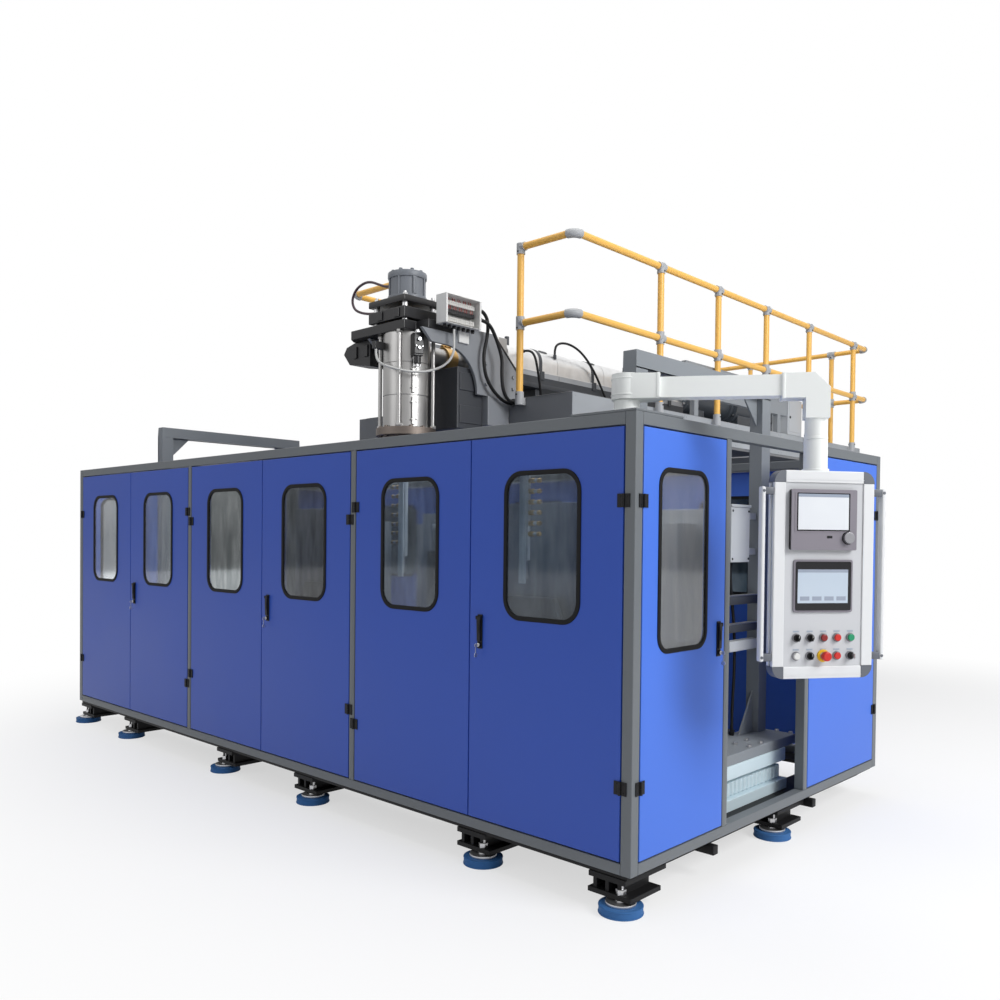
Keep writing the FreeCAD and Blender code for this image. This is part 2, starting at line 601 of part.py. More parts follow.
# ---------------------------------------------------------------- handrail
rail_right = DECK_RIGHT + RAIL_OFFSET
rail_left = DECK_LEFT - RAIL_OFFSET
rail_front = DECK_FRONT - RAIL_OFFSET
rail_rear = DECK_REAR + RAIL_OFFSET
RIGHT_POSTS = (2753.0, 3576.0, 4389.0, 5231.0, 6253.0)
REAR_POSTS = (530.0, -420.0, -1370.0)
FRONT_POST_X = 424.0
FRONT_LEFT_POST_X = -760.0
LEFT_POST_Y = 2400.0
SLEEVE_RADIUS = RAIL_RADIUS + 6.0
SLEEVE_REACH = 40.0
SOCKET_LOW = 2385.0
SOCKET_TOP = 2475.0
ELBOW_RADIUS = 60.0
LEVELS = (RAIL_TOP, RAIL_MIDDLE)


def clamp(x, y, z, along, upright_low, upright_high, reach=(1, 1)):
    """A cast clamp where a rail meets an upright. reach says on which sides the rail goes on."""
    ax, ay = along
    start = (x - ax * SLEEVE_REACH * reach[0], y - ay * SLEEVE_REACH * reach[0], z)
    length = SLEEVE_REACH * (reach[0] + reach[1])
    sleeve = rod(start, (ax, ay, 0), length, SLEEVE_RADIUS)
    upright = rod((x, y, z - upright_low), (0, 0, 1), upright_low + upright_high, SLEEVE_RADIUS)
    return sleeve.fuse(upright)


def post(x, y, along, inward, reach=(1, 1)):
    """An upright with its two rail clamps and the socket that holds it to the deck beam."""
    add("handrail_fittings", clamp(x, y, RAIL_TOP, along, 50, SLEEVE_RADIUS * 0.8, reach),
        clamp(x, y, RAIL_MIDDLE, along, 45, 45, reach))
    add("handrail_tubes",
        rod((x, y, SOCKET_TOP), (0, 0, 1), RAIL_MIDDLE - 45 - SOCKET_TOP, RAIL_RADIUS),
        rod((x, y, RAIL_MIDDLE + 45), (0, 0, 1), RAIL_TOP - 50 - RAIL_MIDDLE - 45, RAIL_RADIUS))
    socket = rod((x, y, SOCKET_LOW), (0, 0, 1), SOCKET_TOP - SOCKET_LOW, SLEEVE_RADIUS)
    far_x, far_y = x + inward[0] * RAIL_OFFSET, y + inward[1] * RAIL_OFFSET
    side_x, side_y = 25 * abs(inward[1]), 25 * abs(inward[0])
    pad = block(min(x, far_x) - side_x, max(x, far_x) + side_x, min(y, far_y) - side_y,
                max(y, far_y) + side_y, SOCKET_LOW, DECK_TOP - 5)
    add("handrail_fittings", socket.fuse(pad))


def rail_run(start, stops, end, level):
    """Straight tubes along one side, broken at the clamp of each stop on the way."""
    along = Vec(end[0] - start[0], end[1] - start[1], 0).normalize()
    here = Vec(start[0], start[1], level)
    for stop in stops:
        clamp_face = Vec(stop[0], stop[1], level) - along * SLEEVE_REACH
        add("handrail_tubes", rod(here, along, (clamp_face - here).Length, RAIL_RADIUS))
        here = clamp_face + along * (2 * SLEEVE_REACH)
    last = Vec(end[0], end[1], level)
    if (last - here).dot(along) > 0:
        add("handrail_tubes", rod(here, along, (last - here).Length, RAIL_RADIUS))


def corner_elbow(x, y, level, sx, sy):
    """A quarter bend that joins two runs at a corner of the deck."""
    cx, cy = x - ELBOW_RADIUS * sx, y - ELBOW_RADIUS * sy
    bend = Part.makeTorus(ELBOW_RADIUS, SLEEVE_RADIUS, Vec(cx, cy, level), Vec(0, 0, 1))
    far_x, far_y = cx + 100 * sx, cy + 100 * sy
    quarter = block(min(cx, far_x), max(cx, far_x), min(cy, far_y), max(cy, far_y), level - 40, level + 40)
    return bend.common(quarter)


for y in RIGHT_POSTS:
    post(rail_right, y, (0, 1), (-1, 0))
for x in REAR_POSTS:
    last = x == REAR_POSTS[-1]
    post(x, rail_rear, (-1, 0), (0, -1), (1, 0) if last else (1, 1))
post(FRONT_POST_X, rail_front, (1, 0), (0, 1), (0, 1))
post(FRONT_LEFT_POST_X, rail_front, (1, 0), (0, 1), (1, 0))
post(rail_left, LEFT_POST_Y, (0, 1), (1, 0), (1, 0))
for level in LEVELS:
    rail_run((FRONT_POST_X + SLEEVE_REACH, rail_front), (), (rail_right - ELBOW_RADIUS, rail_front), level)
    rail_run((rail_right, rail_front + ELBOW_RADIUS), [(rail_right, y) for y in RIGHT_POSTS],
             (rail_right, rail_rear - ELBOW_RADIUS), level)
    rail_run((rail_right - ELBOW_RADIUS, rail_rear), [(x, rail_rear) for x in REAR_POSTS],
             (REAR_POSTS[-1] + SLEEVE_REACH, rail_rear), level)
    rail_run((rail_left + ELBOW_RADIUS, rail_front), (), (FRONT_LEFT_POST_X - SLEEVE_REACH, rail_front), level)
    rail_run((rail_left, rail_front + ELBOW_RADIUS), (), (rail_left, LEFT_POST_Y - SLEEVE_REACH), level)
    add("handrail_fittings", corner_elbow(rail_right, rail_front, level, 1, -1),
        corner_elbow(rail_right, rail_rear, level, 1, 1), corner_elbow(rail_left, rail_front, level, -1, -1))

# ---------------------------------------------------------------- die head
HEAD_FLANGE = (200.0, 52.0)
TIE_RING = 182.0
TIE_RADIUS = 13.0
TIE_ANGLE = 34.0
PLATE_LOW = (HEAD_TOP, HEAD_TOP + 60.0)
PLATE_MIDDLE = (2886.0, 2960.0)
PLATE_TOP = (2992.0, 3034.0)
PLATE_X = (-210.0, 160.0)
PLATE_Y = (929.0, 1249.0)
CHEEK_X = (256.0, 281.0)

flange_low = HEAD_BOTTOM - HEAD_FLANGE[1]
add("die_head",
    rod((0, HEAD_Y, HEAD_BOTTOM), (0, 0, 1), HEAD_TOP - HEAD_BOTTOM, HEAD_RADIUS).fuse([
        rod((0, HEAD_Y, flange_low), (0, 0, 1), HEAD_FLANGE[1], HEAD_FLANGE[0]),
        Part.makeCone(95, 160, 180, Vec(0, HEAD_Y, flange_low - 180)),
        rod((0, HEAD_Y, flange_low - 240), (0, 0, 1), 60, 80)]))
for index in range(4):
    angle = math.radians(TIE_ANGLE + 90 * index)
    tie_foot = (TIE_RING * math.cos(angle), HEAD_Y + TIE_RING * math.sin(angle), HEAD_BOTTOM)
    add("head_plates", rod(tie_foot, (0, 0, 1), HEAD_TOP - HEAD_BOTTOM, TIE_RADIUS))
low_z, high_z = PLATE_LOW
lower_outline = ((160, 929), (160, 1030), (CHEEK_X[1], 1030), (CHEEK_X[1], 1260), (-380, 1260),
                 (-453, 1190), (-453, 990), (-400, 929))
add("head_plates", prism([(px, py, low_z) for px, py in lower_outline], (0, 0, high_z - low_z)))
for low_z, high_z in (PLATE_MIDDLE, PLATE_TOP):
    add("head_plates", block(PLATE_X[0], PLATE_X[1], PLATE_Y[0], PLATE_Y[1], low_z, high_z))
for sx in (PLATE_X[0] + 40, PLATE_X[1] - 40):
    for sy in (PLATE_Y[0] + 40, PLATE_Y[1] - 40):
        for low_z, high_z in ((PLATE_LOW[1], PLATE_MIDDLE[0]), (PLATE_MIDDLE[1], PLATE_TOP[0])):
            add("head_plates", rod((sx, sy, low_z), (0, 0, 1), high_z - low_z, 20))

CYLINDER_TOP = 3220.0
cylinder = rod((0, HEAD_Y, PLATE_TOP[1]), (0, 0, 1), CYLINDER_TOP - PLATE_TOP[1], 130)
cylinder = cylinder.makeChamfer(12.0, [cylinder.Edges[0]])
for index in range(8):
    angle = math.radians(22.5 + 45 * index)
    bolt_at = (98 * math.cos(angle), HEAD_Y + 98 * math.sin(angle), CYLINDER_TOP)
    cylinder = cylinder.fuse(rod(bolt_at, (0, 0, 1), 15, 13))
add("accumulator_cylinder", cylinder)
HOSE_OUT = (-142.0, 1089.0, 3170.0)
HOSE_BACK = (-222.0, 1089.0, 3013.0)
add("accumulator_cylinder", rod(HOSE_OUT, (1, 0, 0), 30, 16).cut(cylinder))
add("head_plates", rod(HOSE_BACK, (1, 0, 0), PLATE_X[0] - HOSE_BACK[0], 16))

# The lead block and the valve stack stand out from the head, clear of its tie rods.
HEAD_CORE = rod((0, HEAD_Y, HEAD_BOTTOM), (0, 0, 1), HEAD_TOP - HEAD_BOTTOM, HEAD_RADIUS)
LEAD_BLOCK = (-84.0, -48.0, 862.0, 960.0, 2700.0, 2748.0)
VALVE_ANGLE = -20.0
add("die_head", block(*LEAD_BLOCK).cut(HEAD_CORE))
valve_body = block(140, 228, HEAD_Y - 32, HEAD_Y + 32, 2652, 2786)
valve_parts = [valve_body, rod((196, HEAD_Y, 2786), (0, 0, 1), 26, 15),
               rod((192, HEAD_Y, 2592), (0, 0, 1), 60, 25), rod((228, HEAD_Y, 2745), (1, 0, 0), 16, 13)]
for shape in valve_parts:
    add("head_plates", turned(shape, VALVE_ANGLE, (0, HEAD_Y)).cut(HEAD_CORE))

# The faceted hood hangs from the lower plate, beside the left cheek.
HOOD_OUTLINE = ((-281, 2812), (-453, 2812), (-545, 2790), (-578, 2745), (-510, 2665), (-281, 2632))
add("service_boxes", prism([(px, 1000, pz) for px, pz in HOOD_OUTLINE], (0, 180, 0)))

# ---------------------------------------------------------------- head bracket
ARCH_RADIUS = 290.0
ARCH_CENTRE = (1190.0, DECK_TOP)
NOSE_Y = 975.0
BRACKET_TOP = 2872.0
BRACKET_BACK = 1890.0
BOX_FRONT = 1570.0


def arch_cheek(x0, x1):
    """One cheek of the bracket that carries the head, with its quarter-round underside."""
    cy, cz = ARCH_CENTRE
    corner = ARCH_RADIUS * math.sqrt(0.5)
    back = ((1268, BRACKET_TOP), (1640, BRACKET_TOP), (BRACKET_BACK, 2640), (BRACKET_BACK, cz),
            (cy + ARCH_RADIUS, cz))
    nose = ((cy, cz + ARCH_RADIUS), (1061, cz + ARCH_RADIUS), (NOSE_Y, HEAD_TOP), (1268, HEAD_TOP),
            (1268, BRACKET_TOP))
    back_wire = Part.makePolygon([Vec(x0, py, pz) for py, pz in back])
    nose_wire = Part.makePolygon([Vec(x0, py, pz) for py, pz in nose])
    arc = Part.Arc(Vec(x0, cy + ARCH_RADIUS, cz), Vec(x0, cy + corner, cz + corner),
                   Vec(x0, cy, cz + ARCH_RADIUS)).toShape()
    outline = Part.Wire(Part.__sortEdges__(back_wire.Edges + [arc] + nose_wire.Edges))
    return Part.Face(outline).extrude(Vec(x1 - x0, 0, 0))


cheek = arch_cheek(CHEEK_X[0], CHEEK_X[1])
spine = block(-CHEEK_X[0], CHEEK_X[0], 1660, 1885, DECK_TOP, 2560)
lower_box = block(-294, 294, BOX_FRONT, DECK_FRONT, DECK_TOP - DECK_BEAM[1], DECK_TOP)
housing = block(-240, 240, 1330, BOX_FRONT, 2200, 2615)
add("head_bracket", cheek, mirrored(cheek), spine, lower_box, housing)

# ---------------------------------------------------------------- extruder
NECK_END = 1850.0
ADAPTER_END = 1950.0
COVER_END = 4300.0
FEED_END = 5150.0
GEAR_END = 5650.0
MOTOR_END = 6300.0
BAND_Y = (2300.0, 2943.0, 3497.0, 4050.0)


def along_screw(y0, y1, radius, z=BARREL_AXIS):
    """A round section of the extruder between two stations along its screw."""
    return rod((0, y0, z), (0, 1, 0), y1 - y0, radius)


COVER_RADIUS = 118.0
COVER_SHEET = 4.0
LIP_Z = 2728.0
LIP_REACH = 12.0
SKIRT_LOW = 2640.0


def cover_profile(radius, side, low):
    """The barrel cover's section: a half-round top on two straight sides, as a face."""
    top = BARREL_AXIS + radius
    arc = Part.Arc(Vec(side, 0, BARREL_AXIS), Vec(0, 0, top), Vec(-side, 0, BARREL_AXIS)).toShape()
    walls = Part.makePolygon([Vec(-side, 0, BARREL_AXIS), Vec(-side, 0, low), Vec(side, 0, low),
                              Vec(side, 0, BARREL_AXIS)])
    return Part.Face(Part.Wire([arc] + walls.Edges))


def cover_length(face, y0, y1):
    """A cover section drawn out between two stations along the screw."""
    length = face.copy()
    length.translate(Vec(0, y0, 0))
    return length.extrude(Vec(0, y1 - y0, 0))


neck = along_screw(HEAD_Y, NECK_END, 70, NECK_AXIS)
neck = neck.cut(HEAD_CORE)
COVER_START = ADAPTER_END + 10
screw_body = along_screw(ADAPTER_END, COVER_END, 95)
add("extruder_barrel", neck, block(-110, 110, NECK_END, ADAPTER_END, 2610, 2920), screw_body)
add("extruder_barrel", rod((0, 1400, NECK_AXIS), (0, 1, 0), 90, 84).cut(neck), block(-14, 14, 1405, 1485, 2784, 2804))

outer = cover_length(cover_profile(COVER_RADIUS, COVER_RADIUS, LIP_Z), COVER_START, COVER_END)
inner_radius = COVER_RADIUS - COVER_SHEET
inner = cover_length(cover_profile(inner_radius, inner_radius, LIP_Z), COVER_START, COVER_END)
end_plate = cover_length(cover_profile(inner_radius, inner_radius, LIP_Z), COVER_START, COVER_START + 6)
add("extruder_barrel", outer.cut(inner), end_plate.cut(screw_body))
skirt_x = COVER_RADIUS + LIP_REACH
for side in (1, -1):
    x0, x1 = sorted((side * (COVER_RADIUS - COVER_SHEET), side * skirt_x))
    lip = block(x0, x1, COVER_START, COVER_END, LIP_Z - 8, LIP_Z)
    x0, x1 = sorted((side * (skirt_x - COVER_SHEET), side * skirt_x))
    add("extruder_barrel", lip, block(x0, x1, COVER_START, COVER_END, SKIRT_LOW, LIP_Z - 8))
for band_y in BAND_Y:
    strap = cover_length(cover_profile(COVER_RADIUS + 5, COVER_RADIUS + 5, LIP_Z), band_y, band_y + 34)
    add("extruder_barrel", strap.cut(outer).cut(inner),
        block(skirt_x, skirt_x + 8, band_y - 6, band_y + 40, LIP_Z - 62, LIP_Z + 4),
        block(-skirt_x - 8, -skirt_x, band_y - 6, band_y + 40, LIP_Z - 62, LIP_Z + 4))
channel = block(-skirt_x, skirt_x, COVER_START, COVER_END, 2600, SKIRT_LOW)
add("extruder_barrel", channel)
for y in (2280.0, 3900.0):
    add("extruder_barrel", block(-100, 100, y, y + 60, DECK_TOP, 2600))
for y in (2600.0, 3200.0, 3800.0):
    add("extruder_barrel", block(-60, 60, y, y + 60, SKIRT_LOW, 2720).cut(screw_body))
PORT_A = (100.0, 2500.0, 2889.0)
PORT_B = (142.0, 2100.0, 2850.0)
add("extruder_barrel", rod((PORT_A[0], PORT_A[1], 2810), (0, 0, 1), PORT_A[2] - 2810, 14).cut(outer).cut(inner),
    rod((100, PORT_B[1], PORT_B[2]), (1, 0, 0), PORT_B[0] - 100, 14).cut(outer).cut(inner),
    rod((64, 1995, 2880), (0, 0, 1), 70, 17).cut(outer).cut(inner))

feed_body = along_screw(COVER_END, FEED_END, 150).fuse([
    along_screw(COVER_END, COVER_END + 40, 178), along_screw(FEED_END - 40, FEED_END, 178),
    block(-120, 120, 4450, 4800, 2800, 3030)])
add("feed_housing", feed_body, block(-110, 110, 4500, 4700, DECK_TOP, 2700).cut(feed_body))
gear_body = along_screw(FEED_END, GEAR_END, 178).fuse([
    along_screw(FEED_END, FEED_END + 45, 215), along_screw(GEAR_END - 45, GEAR_END, 215)])
add("gearbox", gear_body, block(-190, 190, FEED_END + 46, GEAR_END - 46, DECK_TOP, 2700).cut(gear_body))
motor = along_screw(GEAR_END, MOTOR_END, 165).fuse([
    along_screw(GEAR_END, GEAR_END + 30, 200), along_screw(MOTOR_END - 90, MOTOR_END, 182),
    block(-90, 90, 5800, 6030, 2900, 3040)])
FINS = 24
FIN_RADIUS = 182.0
for index in range(FINS):
    fin = block(-3, 3, GEAR_END + 40, MOTOR_END - 90, BARREL_AXIS + 160, BARREL_AXIS + FIN_RADIUS)
    fin.rotate(Vec(0, 0, BARREL_AXIS), Vec(0, 1, 0), 360.0 * index / FINS)
    motor = motor.fuse(fin)
motor_foot = block(-170, 170, 5760, 6130, DECK_TOP, 2690)
add("drive_motor", motor, motor_foot.cut(along_screw(5750, 6140, FIN_RADIUS + 0.5)))

# ---------------------------------------------------------------- boxes and trunking
TERMINAL_BOX = (297.0, 392.0, 1081.0, 1399.0, 2843.0, 3030.0)
WALL = 3.0
bx0, bx1, by0, by1, bz0, bz1 = TERMINAL_BOX
terminal_shell = block(*TERMINAL_BOX).cut(block(bx0 + WALL, bx1 + 1, by0 + WALL, by1 - WALL, bz0 + WALL, bz1 - WALL))
terminal_mount = block(CHEEK_X[1], bx0, 1290, 1380, 2760, 3000)
add("terminal_box", terminal_shell, terminal_mount)
for row_z, reach in ((2868.0, 52.0), (2920.0, 46.0), (2972.0, 52.0)):
    add("terminal_box", block(bx0 + WALL, bx0 + reach, by0 + 18, by1 - 18, row_z, row_z + 30))
LEAD_X = 345.0
LEAD_GLANDS = 7
LEAD_PITCH = 42.0
GLAND_DROP = 22.0
for index in range(LEAD_GLANDS):
    add("terminal_box", rod((LEAD_X, by0 + 30 + LEAD_PITCH * index, bz0 - GLAND_DROP), (0, 0, 1), GLAND_DROP, 13))
CABLE_A = (330.0, by1 + 12.0, 2995.0)
CABLE_B = (372.0, by1 + 12.0, 2915.0)
for x, y, z in (CABLE_A, CABLE_B):
    add("terminal_box", rod((x, by1, z), (0, 1, 0), y - by1, 18))
    add("platform_frame", rod((x, DECK_FRONT - 12, 2405), (0, 1, 0), 12, 18))
JUNCTION_BOX = (2215.0, 2290.0, 1336.0, 1531.0, 1352.0, 1654.0)
add("service_boxes", block(*JUNCTION_BOX), block(700, 858, 4905, 5190, DECK_TOP, 2770))
for z in (1390.0, 1580.0):
    add("service_boxes", block(2240, 2265, JUNCTION_BOX[3], PORTAL_Y[1] - PORTAL_COLUMN, z, z + 35))
BAY_BARS = ((1130.0, 1175.0), (985.0, 1030.0), (886.0, 940.0))
for z0, z1 in BAY_BARS:
    add("service_boxes", block(2245, 2290, 1336, PORTAL_Y[1] - PORTAL_COLUMN, z0, z1))
JUNCTION_GLAND = (2228.0, 1440.0, 1334.0)
add("service_boxes", rod(JUNCTION_GLAND, (0, 0, 1), JUNCTION_BOX[4] - JUNCTION_GLAND[2], 13),
    rod((2228, 1480, COLUMN_PLATE_TOP), (0, 0, 1), 20, 13))
TRUNK = (816.0, 860.0, 3170.0, 4880.0, 2600.0, 2855.0)
trunk = block(*TRUNK)
for y in (3300.0, 4700.0):
    trunk = trunk.fuse(block(TRUNK[0], TRUNK[1], y, y + 60, DECK_TOP, TRUNK[4]))
add("cable_trunk", trunk.removeSplitter())

# ---------------------------------------------------------------- cords
DECK_GLAND = 30.0
PORT_A_END = (152.0, 3170.0)
PORT_B_END = (200.0, 2225.0)
for x, y in (PORT_A_END, PORT_B_END):
    add("platform_frame", rod((x, y, DECK_TOP), (0, 0, 1), DECK_GLAND, 14))

first_cable = (CABLE_A, (330, 1459, 2995), (330, 1500.6, 2971), (330, 1524.6, 2929.4), (330, 1523, 2842),
               (330, 1482, 2705), (330, 1500, 2575), (330, 1560, 2490), (330, 1648, 2428),
               (330, 1714, 2405), (330, DECK_FRONT - 12, 2405))
second_cable = (CABLE_B, (372, 1464, 2915), (372, 1520, 2882), (372, 1580, 2790), (372, 1625, 2690),
                (372, 1620, 2604), (372, 1628, 2504), (372, 1658, 2441), (372, 1709, 2405),
                (372, DECK_FRONT - 12, 2405))
junction_cable = (JUNCTION_GLAND, (2228, 1440, 1270), (2228, 1460, 1160), (2228, 1496, 980),
                  (2228, 1500, 760), (2228, 1480, 560), (2228, 1480, COLUMN_PLATE_TOP + 20))
add("heater_cables", tube_along(first_cable, 12.0), tube_along(second_cable, 12.0),
    tube_along(junction_cable, 8.0))

gland_low = bz0 - GLAND_DROP
white_bundle = ((LEAD_X, by0 + 30 + 2 * LEAD_PITCH, gland_low), (345, 1195, 2745), (342, 1200, 2665),
                (305, 1168, 2592), (242, 1110, 2555), (216, 1028, 2535), (166, 943, 2535),
                (90, 888, 2560), (10, 866, 2588), (-66, 880, 2638), (-66, 880, LEAD_BLOCK[4]))
head_hose = (HOSE_OUT, (-204, 1089, 3170), (-300, 1089, 3206), (-380, 1089, 3240), (-460, 1089, 3250), (-560, 1089, 3222),
             (-608, 1089, 3150), (-575, 1089, 3078), (-490, 1089, 3040), (-390, 1089, 3018),
             (-300, 1089, 3013), HOSE_BACK)
add("hanging_leads", tube_along(white_bundle, 8.0), tube_along(head_hose, 9.0))

top_hose = (PORT_A, (100, 2500, 2941), (106, 2530, 2979), (116, 2600, 2995), (126, 2692, 2985),
            (134, 2785, 2948), (142, 2870, 2885), (150, 2955, 2795), (154, 3030, 2690), (154, 3100, 2600),
            (152, 3170, 2530), (152, 3170, DECK_TOP + DECK_GLAND))
side_hose = (PORT_B, (198, 2100, 2850), (238, 2112, 2808), (242, 2135, 2725), (232, 2168, 2645),
             (214, 2205, 2570), (200, 2225, 2518), (200, 2225, DECK_TOP + DECK_GLAND))
add("barrel_hoses", tube_along(top_hose, 9.0), tube_along(side_hose, 9.0))

# ---------------------------------------------------------------- control arm and box
arm_dir = (math.cos(math.radians(ARM_ANGLE)), math.sin(math.radians(ARM_ANGLE)))
box_centre = (ARM_PIVOT[0] + ARM_LENGTH * arm_dir[0], ARM_PIVOT[1] + ARM_LENGTH * arm_dir[1])
JOINT_GAP = 0.5
SPIGOT = 22.0
TURRET_TOP = 2036.0
ARM_LOW = 2040.0
ARM_TOP = 2124.0
ROOT_TOP = 2141.0
ELBOW_LOW = 1951.0
DROP_LOW = 1868.0


def spigot(x, y, z, length):
    """An upright pin on a joint's lower or upper half."""
    return rod((x, y, z), (0, 0, 1), length, SPIGOT)


def socket_for(x, y, z, length):
    """The bore that a spigot turns in."""
    return rod((x, y, z), (0, 0, 1), length, SPIGOT + PIN_CLEARANCE)


turret = rod((ARM_PIVOT[0], ARM_PIVOT[1], CABINET_TOP + 10), (0, 0, 1), TURRET_TOP - CABINET_TOP - 10, 52)
turret = turret.fuse([rod((ARM_PIVOT[0], ARM_PIVOT[1], CABINET_TOP + 10), (0, 0, 1), 12, 78),
                      spigot(ARM_PIVOT[0], ARM_PIVOT[1], TURRET_TOP, 60)])
corner_plate = block(2300, X_END, 0, 335, CABINET_TOP, CABINET_TOP + 10)
add("arm_base", turret, corner_plate)


def along_arm(shape):
    """Places a shape drawn along +X from the pivot on the arm's own line."""
    copy = shape.copy()
    copy.rotate(Vec(0, 0, 0), Vec(0, 0, 1), ARM_ANGLE)
    copy.translate(Vec(ARM_PIVOT[0], ARM_PIVOT[1], 0))
    return copy


root_low = TURRET_TOP + JOINT_GAP
root = rod((0, 0, root_low), (0, 0, 1), ROOT_TOP - root_low, 64)
root = root.fuse(block(0, 130, -62, 62, root_low, ROOT_TOP - 3)).cut(socket_for(0, 0, root_low, 62))
beam = block(125, ARM_LENGTH - 125, -42, 42, ARM_LOW, ARM_TOP)
elbow_outline = ((ARM_LENGTH - 130, ARM_LOW - 10), (ARM_LENGTH - 130, ARM_TOP + 5), (ARM_LENGTH - 12, ARM_TOP + 5),
                 (ARM_LENGTH + 46, ARM_TOP - 52), (ARM_LENGTH + 46, ELBOW_LOW), (ARM_LENGTH - 46, ELBOW_LOW),
                 (ARM_LENGTH - 46, ARM_LOW - 10))
elbow = prism([(px, -48, pz) for px, pz in elbow_outline], (0, 96, 0))
drop = rod((ARM_LENGTH, 0, DROP_LOW), (0, 0, 1), ELBOW_LOW - DROP_LOW, 43)
arm_pin = spigot(ARM_LENGTH, 0, DROP_LOW - 50, 50)
add("control_arm", along_arm(root.fuse([beam, elbow, drop, arm_pin]).removeSplitter()))


def on_box(shape):
    """Places a shape drawn about the box's own axis: +X to the operator's right, -Y out."""
    copy = shape.copy()
    copy.rotate(Vec(0, 0, 0), Vec(0, 0, 1), BOX_TURN)
    copy.translate(Vec(box_centre[0], box_centre[1], 0))
    return copy


HALF_W = BOX_WIDTH / 2
EDGE = 47.0
FRAME_Y = (-75.0, -25.0)
PANEL_Y = -70.0
HOUSING = (-154.0, 154.0, FRAME_Y[1], 55.0, BOX_BOTTOM + 60, BOX_TOP)
coupling = rod((0, 0, BOX_TOP), (0, 0, 1), DROP_LOW - JOINT_GAP - BOX_TOP, 46)
coupling = coupling.fuse(rod((0, 0, BOX_TOP), (0, 0, 1), 12, 52)).cut(socket_for(0, 0, DROP_LOW - 53, 53))
panel = block(-HALF_W + EDGE, HALF_W - EDGE, PANEL_Y, FRAME_Y[1], BOX_BOTTOM + EDGE, BOX_TOP - EDGE)
add("control_box", on_box(panel), on_box(block(*HOUSING)), on_box(coupling))


def frame_corner(sx, sz):
    """A rounded corner piece between two profiles of the front frame."""
    cx = sx * (HALF_W - EDGE)
    cz = BOX_TOP - EDGE if sz > 0 else BOX_BOTTOM + EDGE
    disc = rod((cx, FRAME_Y[0], cz), (0, 1, 0), FRAME_Y[1] - FRAME_Y[0], EDGE)
    quarter = block(min(cx, cx + sx * EDGE), max(cx, cx + sx * EDGE), FRAME_Y[0], FRAME_Y[1],
                    min(cz, cz + sz * EDGE), max(cz, cz + sz * EDGE))
    return disc.common(quarter)


for sx in (-1, 1):
    x0, x1 = sorted((sx * HALF_W, sx * (HALF_W - EDGE)))
    profile = block(x0, x1, FRAME_Y[0], FRAME_Y[1], BOX_BOTTOM + EDGE, BOX_TOP - EDGE)
    slot_x = sorted((sx * HALF_W, sx * (HALF_W - 8)))
    slot = block(slot_x[0], slot_x[1], -57, -43, BOX_BOTTOM + EDGE, BOX_TOP - EDGE)
    add("box_frame", on_box(profile.cut(slot)), on_box(frame_corner(sx, 1)), on_box(frame_corner(sx, -1)))
for z0 in (BOX_BOTTOM, BOX_TOP - EDGE):
    add("box_frame", on_box(block(-HALF_W + EDGE, HALF_W - EDGE, FRAME_Y[0], FRAME_Y[1], z0, z0 + EDGE)))

GRIP_GAP = 36.0
GRIP_WIDTH = 16.0
GRIP_Y = (-75.0, -45.0)
GRIP_Z = (1000.0, 1675.0)
LUG_HEIGHT = 32.0
for sx in (-1, 1):
    gx = sorted((sx * (HALF_W + GRIP_GAP), sx * (HALF_W + GRIP_GAP + GRIP_WIDTH)))
    lug_x = sorted((sx * HALF_W, sx * (HALF_W + GRIP_GAP)))
    grip = block(gx[0], gx[1], GRIP_Y[0], GRIP_Y[1], GRIP_Z[0], GRIP_Z[1])
    lugs = [block(lug_x[0], lug_x[1], GRIP_Y[0], GRIP_Y[1], z0, z0 + LUG_HEIGHT)
            for z0 in (GRIP_Z[0], GRIP_Z[1] - LUG_HEIGHT)]
    add("box_frame", on_box(grip))
    for lug in lugs:
        add("box_frame", on_box(lug))

SCREEN_1 = (-150.0, 129.0, 1432.0, 1667.0)
SCREEN_2 = (-129.0, 123.0, 1190.0, 1395.0)
SCREEN_1_FACE = PANEL_Y - 20.0
SCREEN_2_FACE = PANEL_Y - 9.0
for (x0, x1, z0, z1), face in ((SCREEN_1, SCREEN_1_FACE), (SCREEN_2, SCREEN_2_FACE)):
    add("touch_screens", on_box(block(x0, x1, face, PANEL_Y, z0, z1)))
knob_place = (91.0, 1480.0)
add("screen_knob", on_box(rod((knob_place[0], SCREEN_1_FACE - 14.5, knob_place[1]), (0, 1, 0), 14, 26)))

COLUMN_STEP = 58.0
COLUMN_FIRST = 3.0 - 2 * COLUMN_STEP
ROWS = (1091.0, 1020.0)
BEZEL = (15.0, 12.5, 7.0)
HEAD_RING = 12.0
controls = {}


def switch(node, column, row, kind):
    """A 22 mm control: a fixed bezel on the panel and the head that moves in it."""
    x = COLUMN_FIRST + COLUMN_STEP * column
    z = ROWS[row]
    if kind == "lamp":
        add("control_box", on_box(rod((x, PANEL_Y - 16, z), (0, 1, 0), 16, 14)))
        return
    outer, bore, height = BEZEL
    if kind == "stop":
        outer = 25.0
    add("control_box", on_box(ring((x, PANEL_Y - height, z), (0, 1, 0), height, outer, bore)))
    if kind == "button":
        head = rod((x, PANEL_Y - 14, z), (0, 1, 0), 8.5, HEAD_RING)
    elif kind == "stop":
        stem = rod((x, PANEL_Y - 22, z), (0, 1, 0), 15, HEAD_RING)
        head = stem.fuse(rod((x, PANEL_Y - 38, z), (0, 1, 0), 16, 20))
    else:
        head = rod((x, PANEL_Y - 16, z), (0, 1, 0), 15.5, HEAD_RING)
        head = head.fuse(block(x - 4, x + 4, PANEL_Y - 26, PANEL_Y - 16, z - 12, z + 12))
    add(node, on_box(head))
    controls[node] = (x, z, kind)


